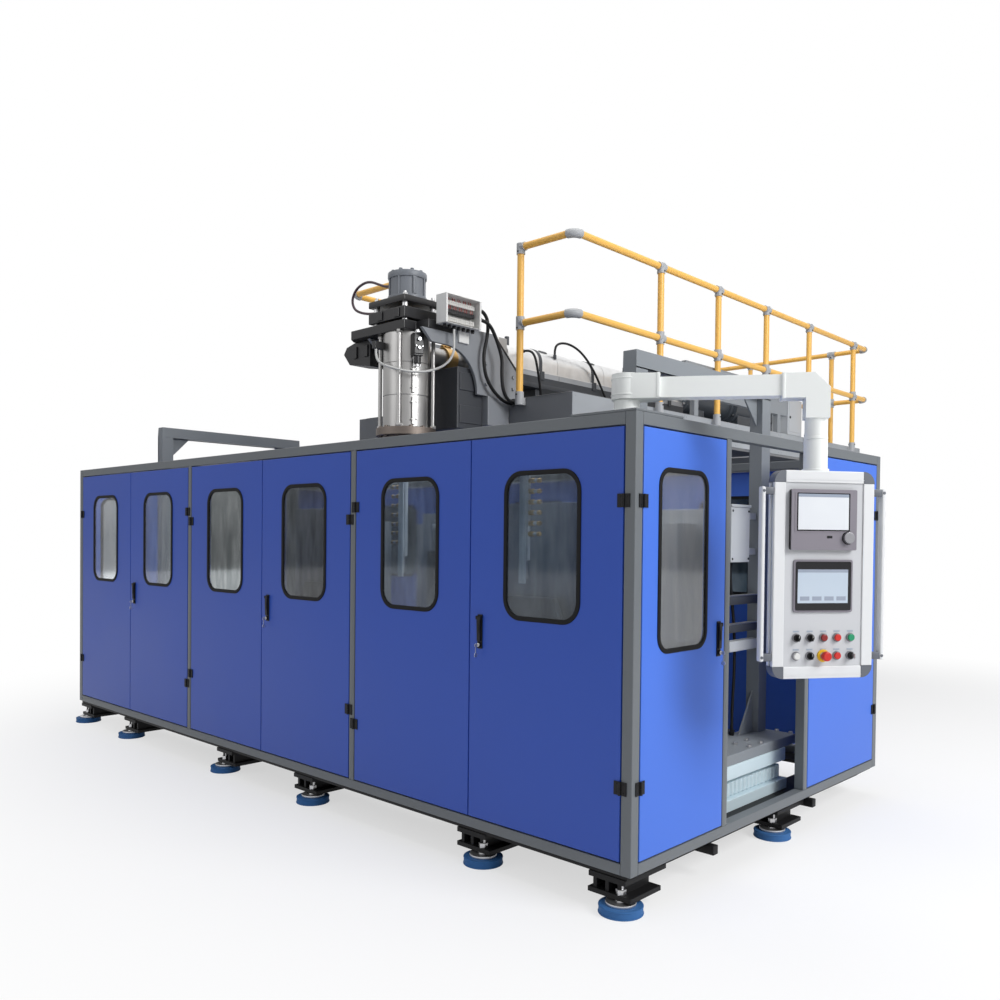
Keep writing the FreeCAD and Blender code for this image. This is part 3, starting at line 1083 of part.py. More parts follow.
LAYOUT = ((0, 0, "selector_1", "selector"), (1, 0, "selector_2", "selector"), (2, 0, "", "lamp"),
          (3, 0, "button_red_upper", "button"), (4, 0, "button_green", "button"), (0, 1, "", "lamp"),
          (1, 1, "selector_3", "selector"), (2, 1, "emergency_stop", "stop"),
          (3, 1, "button_red_lower", "button"), (4, 1, "key_switch", "selector"))
for column, row, node, kind in LAYOUT:
    switch(node, column, row, kind)

# ---------------------------------------------------------------- output
everything = Part.makeCompound([Part.makeCompound(solids) for solids in pieces.values()])
bounds = everything.BoundBox
origin = Vec((bounds.XMin + bounds.XMax) / 2, (bounds.YMin + bounds.YMax) / 2, bounds.ZMin)

os.makedirs("parts", exist_ok=True)
for node, solids in pieces.items():
    shape = solids[0] if len(solids) == 1 else Part.makeCompound(solids)
    shape = shape.copy()
    shape.translate(origin * -1)
    shape.exportStep("parts/%s.step" % node)
print("nodes", len(pieces), "size", round(bounds.XLength), round(bounds.YLength), round(bounds.ZLength))
print("origin", origin)
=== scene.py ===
import math

import bmesh
import bpy
from mathutils import Matrix, Vector


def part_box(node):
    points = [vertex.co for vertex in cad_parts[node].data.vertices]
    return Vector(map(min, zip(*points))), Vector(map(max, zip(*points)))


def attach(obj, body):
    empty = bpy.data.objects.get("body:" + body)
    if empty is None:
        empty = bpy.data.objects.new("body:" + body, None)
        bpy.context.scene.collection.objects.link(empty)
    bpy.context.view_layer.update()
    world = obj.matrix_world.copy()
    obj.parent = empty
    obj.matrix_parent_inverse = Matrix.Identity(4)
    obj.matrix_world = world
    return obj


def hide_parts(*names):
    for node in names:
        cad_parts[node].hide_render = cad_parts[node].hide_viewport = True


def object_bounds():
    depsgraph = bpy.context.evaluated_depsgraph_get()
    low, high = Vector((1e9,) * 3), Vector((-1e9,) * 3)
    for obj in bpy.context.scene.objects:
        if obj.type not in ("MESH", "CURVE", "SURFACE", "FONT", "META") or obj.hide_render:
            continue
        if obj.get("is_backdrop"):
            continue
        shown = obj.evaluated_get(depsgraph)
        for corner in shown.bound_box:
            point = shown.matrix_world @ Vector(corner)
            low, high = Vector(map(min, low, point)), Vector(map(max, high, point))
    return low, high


# The machine as it stands on the floor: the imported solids, one object to each node.
# Metres. In what follows x is measured from the extruder's centre line, y from the
# cabinet's front face and z from the floor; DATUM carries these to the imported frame.
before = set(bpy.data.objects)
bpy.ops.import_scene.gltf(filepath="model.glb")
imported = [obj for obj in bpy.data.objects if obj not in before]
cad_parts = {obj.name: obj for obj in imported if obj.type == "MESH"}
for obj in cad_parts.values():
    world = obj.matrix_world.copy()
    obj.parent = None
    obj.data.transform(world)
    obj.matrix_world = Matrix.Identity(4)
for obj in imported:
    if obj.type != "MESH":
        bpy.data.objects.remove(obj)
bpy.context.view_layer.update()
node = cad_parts
cabinet_low, cabinet_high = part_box("cabinet_frame")
CABINET_HALF = 2.625
DATUM = Vector((cabinet_high.x - CABINET_HALF, cabinet_low.y, 0.0))

# The camera stands off the near corner of the cabinet, a little below eye level,
# and looks at that corner from the right of the long front.
YAW, PITCH, ROLL = math.radians(43.252), math.radians(-0.933), math.radians(0.596)
CAMERA_AT = Vector((4.6118, -2.8339, 1.4664))
level_ahead = Vector((-math.sin(YAW), math.cos(YAW), 0.0))
level_right = Vector((math.cos(YAW), math.sin(YAW), 0.0))
ahead = level_ahead * math.cos(PITCH) + Vector((0, 0, 1)) * math.sin(PITCH)
above = Vector((0, 0, 1)) * math.cos(PITCH) - level_ahead * math.sin(PITCH)
right = level_right * math.cos(ROLL) + above * math.sin(ROLL)
up = above * math.cos(ROLL) - level_right * math.sin(ROLL)
camera_data = bpy.data.cameras.new("camera")
camera_data.lens, camera_data.sensor_width = 32.29, 36.0
camera_data.shift_x, camera_data.shift_y = -0.0051, 0.0526
camera = bpy.data.objects.new("camera", camera_data)
bpy.context.scene.collection.objects.link(camera)
axes = Matrix((right, up, -ahead)).transposed()
camera.matrix_world = Matrix.Translation(DATUM + CAMERA_AT) @ axes.to_4x4()
bpy.context.scene.camera = camera

# The cords: two black sheathed cables from the terminal box, one below the box in the end
# bay, a white bundle of sensor leads, and dark hoses at the cylinder and the barrel. Each
# is one smooth line from gland to gland. Their coat is the group that all paint shares.


def feed(tree, made, inputs):
    """Gives a node's sockets their values, or links them to other nodes' outputs."""
    for label, value in inputs.items():
        socket = made.inputs[label]
        if isinstance(value, bpy.types.NodeSocket):
            tree.links.new(value, socket)
        else:
            socket.default_value = value
    return made


def grow(tree, kind, inputs=None, **settings):
    """Adds a shader node with its settings and what feeds its sockets."""
    made = tree.nodes.new("ShaderNode" + kind)
    for label, value in settings.items():
        setattr(made, label, value)
    return feed(tree, made, inputs or {})


def worked(tree, operation, *values):
    """The result of a sum on numbers and other nodes' outputs."""
    return grow(tree, "Math", dict(enumerate(values)), operation=operation).outputs[0]


def noise(tree, at, scale, detail):
    """Cloudy noise over a place's coordinates."""
    made = grow(tree, "TexNoise", {"Vector": at, "Scale": scale, "Detail": detail})
    return made.outputs["Fac"]


def blended(tree, share, first, second):
    """One colour that gives way to another by a share."""
    inputs = {"Factor": share, "A": first, "B": second}
    return grow(tree, "Mix", inputs, data_type="RGBA").outputs["Result"]


def fresh(name):
    """A new material with its node tree and its shader."""
    material = bpy.data.materials.new(name)
    material.use_nodes = True
    return material, material.node_tree, material.node_tree.nodes["Principled BSDF"]


COLOUR, NUMBER = "NodeSocketColor", "NodeSocketFloat"


def finish_group(name, colour, numbers):
    """An empty shader group: a colour and numbers go in, colour, roughness and height come out."""
    tree = bpy.data.node_groups.new(name, "ShaderNodeTree")
    tree.interface.new_socket("Colour", in_out="INPUT", socket_type=COLOUR).default_value = colour
    for label, value in numbers.items():
        socket = tree.interface.new_socket(label, in_out="INPUT", socket_type=NUMBER)
        socket.default_value = value
    for label, kind in (("Colour", COLOUR), ("Roughness", NUMBER), ("Height", NUMBER)):
        tree.interface.new_socket(label, in_out="OUTPUT", socket_type=kind)
    return tree, tree.nodes.new("NodeGroupInput").outputs, tree.nodes.new("NodeGroupOutput")


# The coat: a fine grain, a slight change of tone, and dust on what is low down.
DUST_COLOUR = (0.42, 0.41, 0.39, 1)
DUST_TOP, DUST_FULL = 1.1, 0.1
coat_group, asked, given = finish_group(
    "powder_coat", (0.5, 0.5, 0.5, 1), {"Tone": 0.06, "Roughness": 0.4, "Peel": 1.0, "Dust": 0.1})
place = grow(coat_group, "TexCoord").outputs["Object"]
broad = noise(coat_group, place, 1.7, 5.0)
peel = noise(coat_group, place, 420.0, 2.0)
swing = worked(coat_group, "SUBTRACT", broad, 0.5)
shade = worked(coat_group, "MULTIPLY_ADD", swing, asked["Tone"], 1.0)
toned = grow(coat_group, "VectorMath", {0: asked["Colour"], "Scale": shade}, operation="SCALE")
height = grow(coat_group, "SeparateXYZ", {0: place}).outputs["Z"]
low_down = grow(coat_group, "MapRange",
                {"Value": height, "From Min": DUST_TOP, "From Max": DUST_FULL})
dusty = worked(coat_group, "MULTIPLY", low_down.outputs["Result"], asked["Dust"])
patches = worked(coat_group, "MULTIPLY", dusty, broad)
feed(coat_group, given, {
    "Colour": blended(coat_group, patches, toned.outputs[0], DUST_COLOUR),
    "Roughness": worked(coat_group, "MULTIPLY_ADD", broad, 0.12, asked["Roughness"]),
    "Height": worked(coat_group, "MULTIPLY", peel, asked["Peel"])})


def finish(name, group, values, shader_values):
    """A material whose colour, roughness and relief come from one of the groups."""
    material, tree, shader = fresh(name)
    worn = grow(tree, "Group", node_tree=group)
    feed(tree, worn, values)
    look = worn.outputs
    relief = grow(tree, "Bump", {"Distance": 0.0004, "Strength": 0.6, "Height": look["Height"]})
    feed(tree, shader, {"Base Color": look["Colour"], "Roughness": look["Roughness"],
                        "Normal": relief.outputs["Normal"], **shader_values})
    return material


def painted(name, colour, roughness=0.38, tone=0.1, dust=0.0, peel=0.3, gloss=0.5):
    """A powder-coated finish in one colour."""
    values = {"Colour": (*colour, 1), "Roughness": roughness, "Tone": tone, "Dust": dust,
              "Peel": peel}
    return finish(name, coat_group, values, {"Specular IOR Level": gloss})


cable_black = painted("cable_black", (0.008, 0.008, 0.009), 0.45, gloss=0.3)
lead_white = painted("lead_white", (0.62, 0.62, 0.60), 0.42, tone=0.15, dust=0.12)
hose_plum = painted("hose_plum", (0.045, 0.018, 0.030), 0.38, dust=0.12)


def cord_line(name, route, diameter, material, node_name):
    """One cord along its route's points, in metres."""
    curve = bpy.data.curves.new(name, "CURVE")
    curve.dimensions = "3D"
    curve.bevel_depth = diameter / 2
    curve.bevel_resolution = 5
    curve.resolution_u = 10
    curve.use_fill_caps = True
    spline = curve.splines.new("NURBS")
    spline.points.add(len(route) - 1)
    for point, stop in zip(spline.points, route):
        point.co = (*(DATUM + Vector(stop)), 1)
    spline.order_u = 3
    spline.use_endpoint_u = True
    curve.materials.append(material)
    made = bpy.data.objects.new(name, curve)
    bpy.context.scene.collection.objects.link(made)
    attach(made, "machine")
    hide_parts(node_name)


cord_line("upper_cable", (
    (0.330, 1.411, 2.995), (0.330, 1.459, 2.995), (0.330, 1.5006, 2.971), (0.330, 1.5246, 2.9294),
    (0.330, 1.523, 2.842), (0.330, 1.482, 2.705), (0.330, 1.500, 2.575), (0.330, 1.560, 2.490),
    (0.330, 1.648, 2.428), (0.330, 1.714, 2.405), (0.330, 1.769, 2.405)),
    0.024, cable_black, "heater_cables")
cord_line("lower_cable", (
    (0.372, 1.411, 2.915), (0.372, 1.464, 2.915), (0.372, 1.520, 2.882), (0.372, 1.580, 2.790),
    (0.372, 1.625, 2.690), (0.372, 1.620, 2.604), (0.372, 1.628, 2.504), (0.372, 1.658, 2.441),
    (0.372, 1.709, 2.405), (0.372, 1.769, 2.405)),
    0.024, cable_black, "heater_cables")
cord_line("end_bay_cable", (
    (2.228, 1.440, 1.334), (2.228, 1.440, 1.270), (2.228, 1.460, 1.160), (2.228, 1.496, 0.980),
    (2.228, 1.500, 0.760), (2.228, 1.480, 0.560), (2.228, 1.480, 0.445)),
    0.016, cable_black, "heater_cables")
cord_line("sensor_leads", (
    (0.345, 1.195, 2.821), (0.345, 1.195, 2.745), (0.342, 1.200, 2.665), (0.305, 1.168, 2.592),
    (0.242, 1.110, 2.555), (0.216, 1.028, 2.535), (0.166, 0.943, 2.535), (0.090, 0.888, 2.560),
    (0.010, 0.866, 2.588), (-0.066, 0.880, 2.638), (-0.066, 0.880, 2.700)),
    0.016, lead_white, "hanging_leads")
cord_line("cylinder_hose", (
    (-0.142, 1.089, 3.170), (-0.204, 1.089, 3.170), (-0.300, 1.089, 3.206), (-0.380, 1.089, 3.240),
    (-0.460, 1.089, 3.250), (-0.560, 1.089, 3.222), (-0.608, 1.089, 3.150), (-0.575, 1.089, 3.078),
    (-0.490, 1.089, 3.040), (-0.390, 1.089, 3.018), (-0.300, 1.089, 3.013), (-0.222, 1.089, 3.013)),
    0.018, hose_plum, "hanging_leads")
cord_line("barrel_top_hose", (
    (0.100, 2.500, 2.889), (0.100, 2.500, 2.941), (0.106, 2.530, 2.979), (0.116, 2.600, 2.995),
    (0.126, 2.692, 2.985), (0.134, 2.785, 2.948), (0.142, 2.870, 2.885), (0.150, 2.955, 2.795),
    (0.154, 3.030, 2.690), (0.154, 3.100, 2.600), (0.152, 3.170, 2.530), (0.152, 3.170, 2.470)),
    0.018, cable_black, "barrel_hoses")
cord_line("barrel_side_hose", (
    (0.142, 2.100, 2.850), (0.198, 2.100, 2.850), (0.238, 2.112, 2.808), (0.242, 2.135, 2.725),
    (0.232, 2.168, 2.645), (0.214, 2.205, 2.570), (0.200, 2.225, 2.518), (0.200, 2.225, 2.470)),
    0.018, cable_black, "barrel_hoses")

# The room: a pale floor and an even, pale surround. Three large soft lamps stand off the
# machine, the strongest beyond its right-hand end, so that the end is lit and the front is
# in gentler light. Polished parts see the surround darker towards the horizon.


def in_view(tree):
    """1 where the camera looks, also in a mirror or through glass, and 0 for stray light."""
    rays = grow(tree, "LightPath").outputs
    mirrored = worked(tree, "MAXIMUM", rays["Is Glossy Ray"], rays["Is Transmission Ray"])
    return worked(tree, "MAXIMUM", rays["Is Camera Ray"], mirrored), rays["Is Glossy Ray"]


bpy.context.scene.view_settings.view_transform = "Standard"
world = bpy.data.worlds.new("surround")
bpy.context.scene.world = world
world.use_nodes = True
sky = world.node_tree
sky.nodes.clear()
seen, glossy = in_view(sky)
dim_sky = grow(sky, "Background", {"Color": (0.93, 0.95, 1.0, 1), "Strength": 0.36})
skyward = grow(sky, "SeparateXYZ", {0: grow(sky, "TexCoord").outputs["Generated"]}).outputs["Z"]
loom = grow(sky, "MapRange", {"Value": skyward, "From Min": 0.0, "From Max": 0.30,
                              "To Min": -0.72, "To Max": 0.0}).outputs["Result"]
glow = worked(sky, "MULTIPLY_ADD", glossy, loom, 1.0)
white_sky = grow(sky, "Background", {"Color": (1, 1, 1, 1), "Strength": glow})
mixed_sky = grow(sky, "MixShader", {0: seen, 1: dim_sky.outputs[0], 2: white_sky.outputs[0]})
grow(sky, "OutputWorld", {"Surface": mixed_sky.outputs[0]})


def lamp(name, place, target, size, watts):
    """A square soft lamp that faces a target."""
    data = bpy.data.lights.new(name, "AREA")
    data.shape = "SQUARE"
    data.size = size
    data.energy = watts
    made = bpy.data.objects.new(name, data)
    bpy.context.scene.collection.objects.link(made)
    made.location = DATUM + Vector(place)
    made.rotation_mode = "QUATERNION"
    made.rotation_quaternion = (Vector(target) - Vector(place)).to_track_quat("-Z", "Y")


lamp("end_lamp", (9.0, 1.5, 5.5), (2.6, 1.2, 1.2), 4.0, 540)
lamp("front_lamp", (-2.5, -7.5, 5.0), (-0.5, 0.0, 1.2), 5.0, 80)
lamp("top_lamp", (0.0, 2.5, 9.0), (0.0, 2.5, 0.0), 6.0, 260)

bpy.ops.mesh.primitive_plane_add(size=60.0, location=(0, 0, -0.0005))
floor = bpy.context.object
floor.name = "floor"
floor_finish, tree, shader = fresh("pale_floor")
feed(tree, shader, {"Base Color": (0.93, 0.93, 0.93, 1), "Roughness": 0.75})
seen, glossy = in_view(tree)
reach = grow(tree, "VectorMath", {0: grow(tree, "TexCoord").outputs["Object"]}, operation="LENGTH")
whiten = grow(tree, "MapRange", {"Value": reach.outputs["Value"], "From Min": 3.0, "From Max": 6.5,
                                 "To Min": 0.6, "To Max": 1.0}, interpolation_type="SMOOTHSTEP")
share = worked(tree, "MULTIPLY", seen, whiten.outputs["Result"])
white_floor = grow(tree, "Emission", {"Color": (1, 1, 1, 1), "Strength": 1.0})
floor_mix = grow(tree, "MixShader", {0: share, 1: shader.outputs[0], 2: white_floor.outputs[0]})
feed(tree, tree.nodes["Material Output"], {"Surface": floor_mix.outputs[0]})
floor.data.materials.append(floor_finish)
floor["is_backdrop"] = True

# The cabinet's frame: square steel tube, welded and powder coated in mid grey.
# Posts and rails keep the tube's small corner radius. Its top is open over the moulds.
# Shapes are drawn on one bench, bm, and piece() takes them off it.
bm = bmesh.new()


def edges_at(corners):
    """The edges that meet at some corners."""
    return {e for v in corners for e in v.link_edges}


def soften(geom, size, segments=2, affect="EDGES", clamp=False):
    """Rounds edges, or the corners of a flat face. Gives the new corners."""
    return bmesh.ops.bevel(bm, geom=list(geom), offset=size, segments=segments, affect=affect,
                           profile=0.5, material=-1, clamp_overlap=clamp)["verts"]


def cuboid(x0, x1, y0, y1, z0, z1, edge=0.0, segments=2):
    """A box between two opposite corners, with softened edges."""
    made = bmesh.ops.create_cube(bm, size=1.0)["verts"]
    bmesh.ops.scale(bm, vec=(abs(x1 - x0), abs(y1 - y0), abs(z1 - z0)), verts=made)
    bmesh.ops.translate(bm, vec=((x0 + x1) / 2, (y0 + y1) / 2, (z0 + z1) / 2), verts=made)
    return soften(edges_at(made), edge, segments) if edge else made


def rounded_plate(x0, x1, z0, z1, y0, y1, radius, segments=8):
    """A plate in the X-Z plane with rounded corners."""
    posts = [e for e in edges_at(cuboid(x0, x1, y0, y1, z0, z1))
             if abs(e.verts[0].co.y - e.verts[1].co.y) > abs(y1 - y0) / 2]
    return soften(posts, radius, segments)


def rod(x, y, z, radius, sides=32, rim=0.0, end_radius=None):
    """A round bar or cone. A coordinate that changes along it is a pair, start and end."""
    spans = [v if isinstance(v, tuple) else (v, v) for v in (x, y, z)]
    start, end = (Vector(point) for point in zip(*spans))
    axis = end - start
    made = bmesh.ops.create_cone(bm, cap_ends=True, segments=sides, radius1=radius,
                                 radius2=radius if end_radius is None else end_radius,
                                 depth=axis.length)["verts"]
    turn = axis.to_track_quat("Z", "Y").to_matrix().to_4x4()
    bmesh.ops.transform(bm, matrix=Matrix.Translation((start + end) / 2) @ turn, verts=made)
    if rim:
        caps = {f for v in made for f in v.link_faces if len(f.verts) == sides}
        soften({e for f in caps for e in f.edges}, rim)


CREASE, SLIGHT_CREASE = 40.0, 10.0
FACE_MUCH_LARGER = 15


def piece(name, material, replaces=(), body="machine", turned=None):
    """Takes the bench's shapes as one piece of the machine and gives it to a body."""
    if turned:
        bmesh.ops.transform(bm, matrix=turned, verts=bm.verts)
    bmesh.ops.translate(bm, vec=DATUM, verts=bm.verts)
    bmesh.ops.recalc_face_normals(bm, faces=bm.faces)
    for face in bm.faces:
        face.smooth = True
    for edge in bm.edges:
        edge.smooth = False
        if len(edge.link_faces) == 2:
            small, large = sorted(face.calc_area() for face in edge.link_faces)
            turn = math.degrees(edge.calc_face_angle(0))
            alike = turn <= SLIGHT_CREASE or small * FACE_MUCH_LARGER >= large
            edge.smooth = turn <= CREASE and alike
    mesh = bpy.data.meshes.new(name)
    bm.to_mesh(mesh)
    bm.clear()
    mesh.materials.append(material)
    made = bpy.data.objects.new(name, mesh)
    bpy.context.scene.collection.objects.link(made)
    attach(made, body)
    if replaces:
        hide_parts(*replaces)
    return made


frame_grey = painted("frame_grey", (0.132, 0.145, 0.156), 0.40, dust=0.03)
CABINET_DEPTH = 2.446
CABINET_LOW, CABINET_HIGH = 0.160, 1.960
POST, MULLION = 0.050, 0.040
LOW_RAIL, HIGH_RAIL = CABINET_LOW + 0.045, CABINET_HIGH - 0.050
BAY = (2 * CABINET_HALF - 2 * POST - 2 * MULLION) / 3
BAY_STARTS = [-CABINET_HALF + POST + bay * (BAY + MULLION) for bay in range(3)]
END_MULLIONS = (0.710, 1.517)
TUBE_EDGE = 0.0035
for y in (0.0, CABINET_DEPTH - POST):
    for x in (-CABINET_HALF, CABINET_HALF - POST):
        cuboid(x, x + POST, y, y + POST, CABINET_LOW, CABINET_HIGH, TUBE_EDGE)
    for low, high in ((CABINET_LOW, LOW_RAIL), (HIGH_RAIL, CABINET_HIGH)):
        cuboid(POST - CABINET_HALF, CABINET_HALF - POST, y, y + POST, low, high, TUBE_EDGE)
    for start in BAY_STARTS[1:]:
        cuboid(start - MULLION, start, y, y + POST, LOW_RAIL, HIGH_RAIL, TUBE_EDGE)
for x in (-CABINET_HALF, CABINET_HALF - POST):
    for low, high in ((CABINET_LOW, LOW_RAIL), (HIGH_RAIL, CABINET_HIGH)):
        cuboid(x, x + POST, POST, CABINET_DEPTH - POST, low, high, TUBE_EDGE)
    for y in END_MULLIONS:
        cuboid(x, x + POST, y - MULLION / 2, y + MULLION / 2, LOW_RAIL, HIGH_RAIL, TUBE_EDGE)
piece("cabinet_tubes", frame_grey, ["cabinet_frame"])

# The doors: folded steel sheet in deep blue with a rounded window, a black rubber seal and
# a tinted pane, hung on two black hinges. The right-hand door of each pair has the lock.
# One blue paint in two copies: the darker one on the front doors is painted shade, and the lighter
# one on the end is painted light, standing for the front's gentler light and the end's stronger
# lamp.
door_blue = painted("door_blue", (0.028, 0.085, 0.45), 0.33, tone=0.05, dust=0.01, gloss=0.35)
lit_blue = painted("lit_blue", (0.064, 0.170, 0.66), 0.36, tone=0.05, dust=0.01, gloss=0.22)
seal_black = painted("seal_black", (0.005, 0.005, 0.006), 0.6, gloss=0.2)
hinge_black = painted("hinge_black", (0.006, 0.006, 0.007), 0.4, gloss=0.25)


def push(faces, by):
    """Extrudes faces. Gives the corners that moved."""
    made = bmesh.ops.extrude_face_region(bm, geom=faces)["geom"]
    moved = [g for g in made if isinstance(g, bmesh.types.BMVert)]
    bmesh.ops.translate(bm, vec=by, verts=moved)
    return moved


def loop_of(x0, x1, z0, z1, y, radius=0.0):
    """A closed loop of edges in the X-Z plane: a rectangle with rounded corners."""
    corners = bmesh.ops.create_grid(bm, x_segments=1, y_segments=1, size=0.5)["verts"]
    upright = Matrix.Rotation(math.radians(90), 3, "X")
    bmesh.ops.rotate(bm, cent=(0, 0, 0), matrix=upright, verts=corners)
    bmesh.ops.scale(bm, vec=(x1 - x0, 1, z1 - z0), verts=corners)
    bmesh.ops.translate(bm, vec=((x0 + x1) / 2, y, (z0 + z1) / 2), verts=corners)
    if radius:
        corners = soften(corners, radius, 8, affect="VERTICES")
    face = corners[0].link_faces[0]
    edges = list(face.edges)
    bmesh.ops.delete(bm, geom=[face], context="FACES_ONLY")
    return edges


def sheet_between(edges, depth):
    """Fills the flat between loops of edges and gives it a depth backwards."""
    filled = bmesh.ops.triangle_fill(bm, use_beauty=True, use_dissolve=False, edges=edges)
    push([g for g in filled["geom"] if isinstance(g, bmesh.types.BMFace)], (0, depth, 0))


def sharp_edges_at(y):
    """The sharp edges that lie in one upright plane."""
    return [e for e in bm.edges if len(e.link_faces) == 2 and e.calc_face_angle(0) > 1.2
            and all(abs(v.co.y - y) < 1e-6 for v in e.verts)]


GAP = 0.006
SHEET_LOW, SHEET_HIGH, SHEET_DEPTH = 0.211, 1.904, 0.025
SILL, WINDOW_HEIGHT, WINDOW_RADIUS = 1.113, 0.640, 0.095
DOOR_WINDOW, GUARD_WINDOW = 0.425, 0.600
END_WINDOW = (0.160, 0.535, 1.008, 1.756, 0.075)
SEAL, SEAL_FRONT, SEAL_DEPTH = 0.020, -0.005, 0.014
REBATE = SEAL - 0.002


def door_sheet(x0, x1, window):
    """A flat sheet with a rounded hole, and with soft outer edges at its front."""
    edges = loop_of(x0, x1, SHEET_LOW, SHEET_HIGH, 0.0)
    if window:
        edges += loop_of(*window[:4], 0.0, window[4])
    sheet_between(edges, SHEET_DEPTH)
    rim = [e for e in sharp_edges_at(0.0) if e.calc_length() > 0.2]
    soften([e for e in rim if min(abs(e.verts[0].co.x - x) for x in (x0, x1)) < 1e-6
            or min(abs(e.verts[0].co.z - z) for z in (SHEET_LOW, SHEET_HIGH)) < 1e-6], 0.003, 3)


def tinted_glass(name, dark, pale):
    """A clear pane with upright streaks, between a dark and a pale tint."""
    material, tree, shader = fresh(name)
    place = grow(tree, "TexCoord").outputs["Object"]
    drawn_out = grow(tree, "Mapping", {"Vector": place, "Scale": (5.0, 5.0, 1.2)}).outputs[0]
    streak_tone = noise(tree, drawn_out, 3.2, 6.0)
    marks = grow(tree, "MapRange", {"Value": streak_tone, "From Min": 0.34, "From Max": 0.66})
    feed(tree, shader, {
        "Base Color": blended(tree, marks.outputs["Result"], (*dark, 1), (*pale, 1)),
        "Roughness": worked(tree, "MULTIPLY_ADD", streak_tone, 0.07, 0.015),
        "Transmission Weight": 0.94, "IOR": 1.45, "Specular IOR Level": 0.4})
    return material


window_glass = tinted_glass("window_glass", (0.66, 0.72, 0.76), (0.88, 0.91, 0.92))
# Tints of the front and end panes: the pale one is painted reflection, the dark and mid ones
# painted shade.
pale_reflection_glass = tinted_glass("pale_reflection_glass", (0.84, 0.88, 0.91), (0.97, 0.98, 0.99))
dark_shade_glass = tinted_glass("dark_shade_glass", (0.17, 0.20, 0.21), (0.42, 0.45, 0.46))
mid_shade_glass = tinted_glass("mid_shade_glass", (0.26, 0.33, 0.41), (0.52, 0.60, 0.66))
# The rear panes' near-black tint is painted shade, so that the view through the cabinet stays dark.
rear_shade_glass = tinted_glass("rear_shade_glass", (0.03, 0.045, 0.06), (0.08, 0.10, 0.12))
# Each pane gets the tint that matches how light or dark it looks: painted light and shade.
PANES = {"front_door_1": pale_reflection_glass, "front_door_2": window_glass, "front_door_3": dark_shade_glass,
         "front_door_4": dark_shade_glass, "front_door_5": mid_shade_glass,
         "front_door_6": mid_shade_glass, "end_door": pale_reflection_glass}


def window_at(middle, width):
    """A window's two sides, its foot and head, and its corner radius."""
    return (middle - width / 2, middle + width / 2, SILL, SILL + WINDOW_HEIGHT, WINDOW_RADIUS)


def glaze(names, window, glass, replaces=(), body="machine", turned=None):
    """A window's rubber seal with its rounded front, and the pane that it holds."""
    x0, x1, z0, z1, radius = window
    edges = loop_of(x0, x1, z0, z1, SEAL_FRONT, radius)
    edges += loop_of(x0 + SEAL, x1 - SEAL, z0 + SEAL, z1 - SEAL, SEAL_FRONT, radius - SEAL)
    sheet_between(edges, SEAL_DEPTH)
    soften(sharp_edges_at(SEAL_FRONT), 0.003, 3)
    piece(names % "seal", seal_black, replaces, body, turned)
    rounded_plate(x0 + REBATE, x1 - REBATE, z0 + REBATE, z1 - REBATE, 0.001, 0.005,
                  radius - REBATE)
    piece(names % "pane", glass, (), body, turned)


def lock_plate(x, z):
    """The long black plate of a swing-handle lock, with its cylinder housing and ears."""
    cuboid(x - 0.015, x + 0.015, -0.005, 0.0, z - 0.076, z + 0.076, 0.002)
    rod(x, (-0.014, -0.004), z - 0.059, 0.011, 24, 0.0015)
    for side in (-1, 1):
        cuboid(x + side * 0.015, x + side * 0.011, -0.017, -0.004, z + 0.054, z + 0.070, 0.001)


def hinge_leaf(x, z, side, low, high):
    """A hinge's leaf, to the right of its pin or the left, with its barrel and two screws."""
    near, far = x + side * 0.0015, x + side * 0.0295
    cuboid(near, far, -0.005, 0.0, z - 0.0265, z + 0.0265, 0.0012)
    rod(x, -0.007, (z + low, z + high), 0.006, 24, 0.001)
    for dz in (-0.016, 0.016):
        rod((near + far) / 2, (-0.0065, -0.004), z + dz, 0.0042, 16, 0.0008)


def door(name, x0, x1, hinge_x, side, hinges, window, lock_at=None, turned=None):
    """One door drawn on the front face: its sheet, window, moving hinge leaves and lock."""
    door_sheet(x0, x1, window)
    # Turned doors take the lighter copy of the blue, which is painted light.
    piece(name + "_sheet", lit_blue if turned else door_blue, [name], name, turned)
    if window:
        glaze(name + "_%s", window, PANES[name], (), name, turned)
    for z in hinges:
        hinge_leaf(hinge_x, z, side, 0.0005, 0.0265)
    if lock_at:
        lock_plate(*lock_at)
    piece(name + "_hardware", hinge_black, (), name, turned)


END_HINGES = (1.616, 0.500)
BAY_HINGES = (END_HINGES, (1.553, 0.569), END_HINGES)
LOCKS = [(start + BAY / 2 + GAP / 2 + 0.066, 1.049) for start in BAY_STARTS]
END_LOCK = (0.632, 1.039)
for bay, start in enumerate(BAY_STARTS):
    split = start + BAY / 2
    x0, x1 = start + GAP, split - GAP / 2
    door("front_door_%d" % (2 * bay + 1), x0, x1, start + GAP / 2, 1, BAY_HINGES[bay],
         window_at((x0 + x1) / 2, DOOR_WINDOW))
    x0, x1 = split + GAP / 2, start + BAY - GAP
    door("front_door_%d" % (2 * bay + 2), x0, x1, x1 + GAP / 2, -1, BAY_HINGES[bay],
         window_at((x0 + x1) / 2, DOOR_WINDOW), LOCKS[bay])

# The right-hand end: a door of the same make towards the front, an open bay, and a plain
# panel on hinges towards the rear. Both are drawn on the front face and turned.


def turned_to(x, y, degrees):
    """Turns what is drawn at the origin about the upright, and sets it down at a place."""
    return Matrix.Translation((x, y, 0)) @ Matrix.Rotation(math.radians(degrees), 4, "Z")


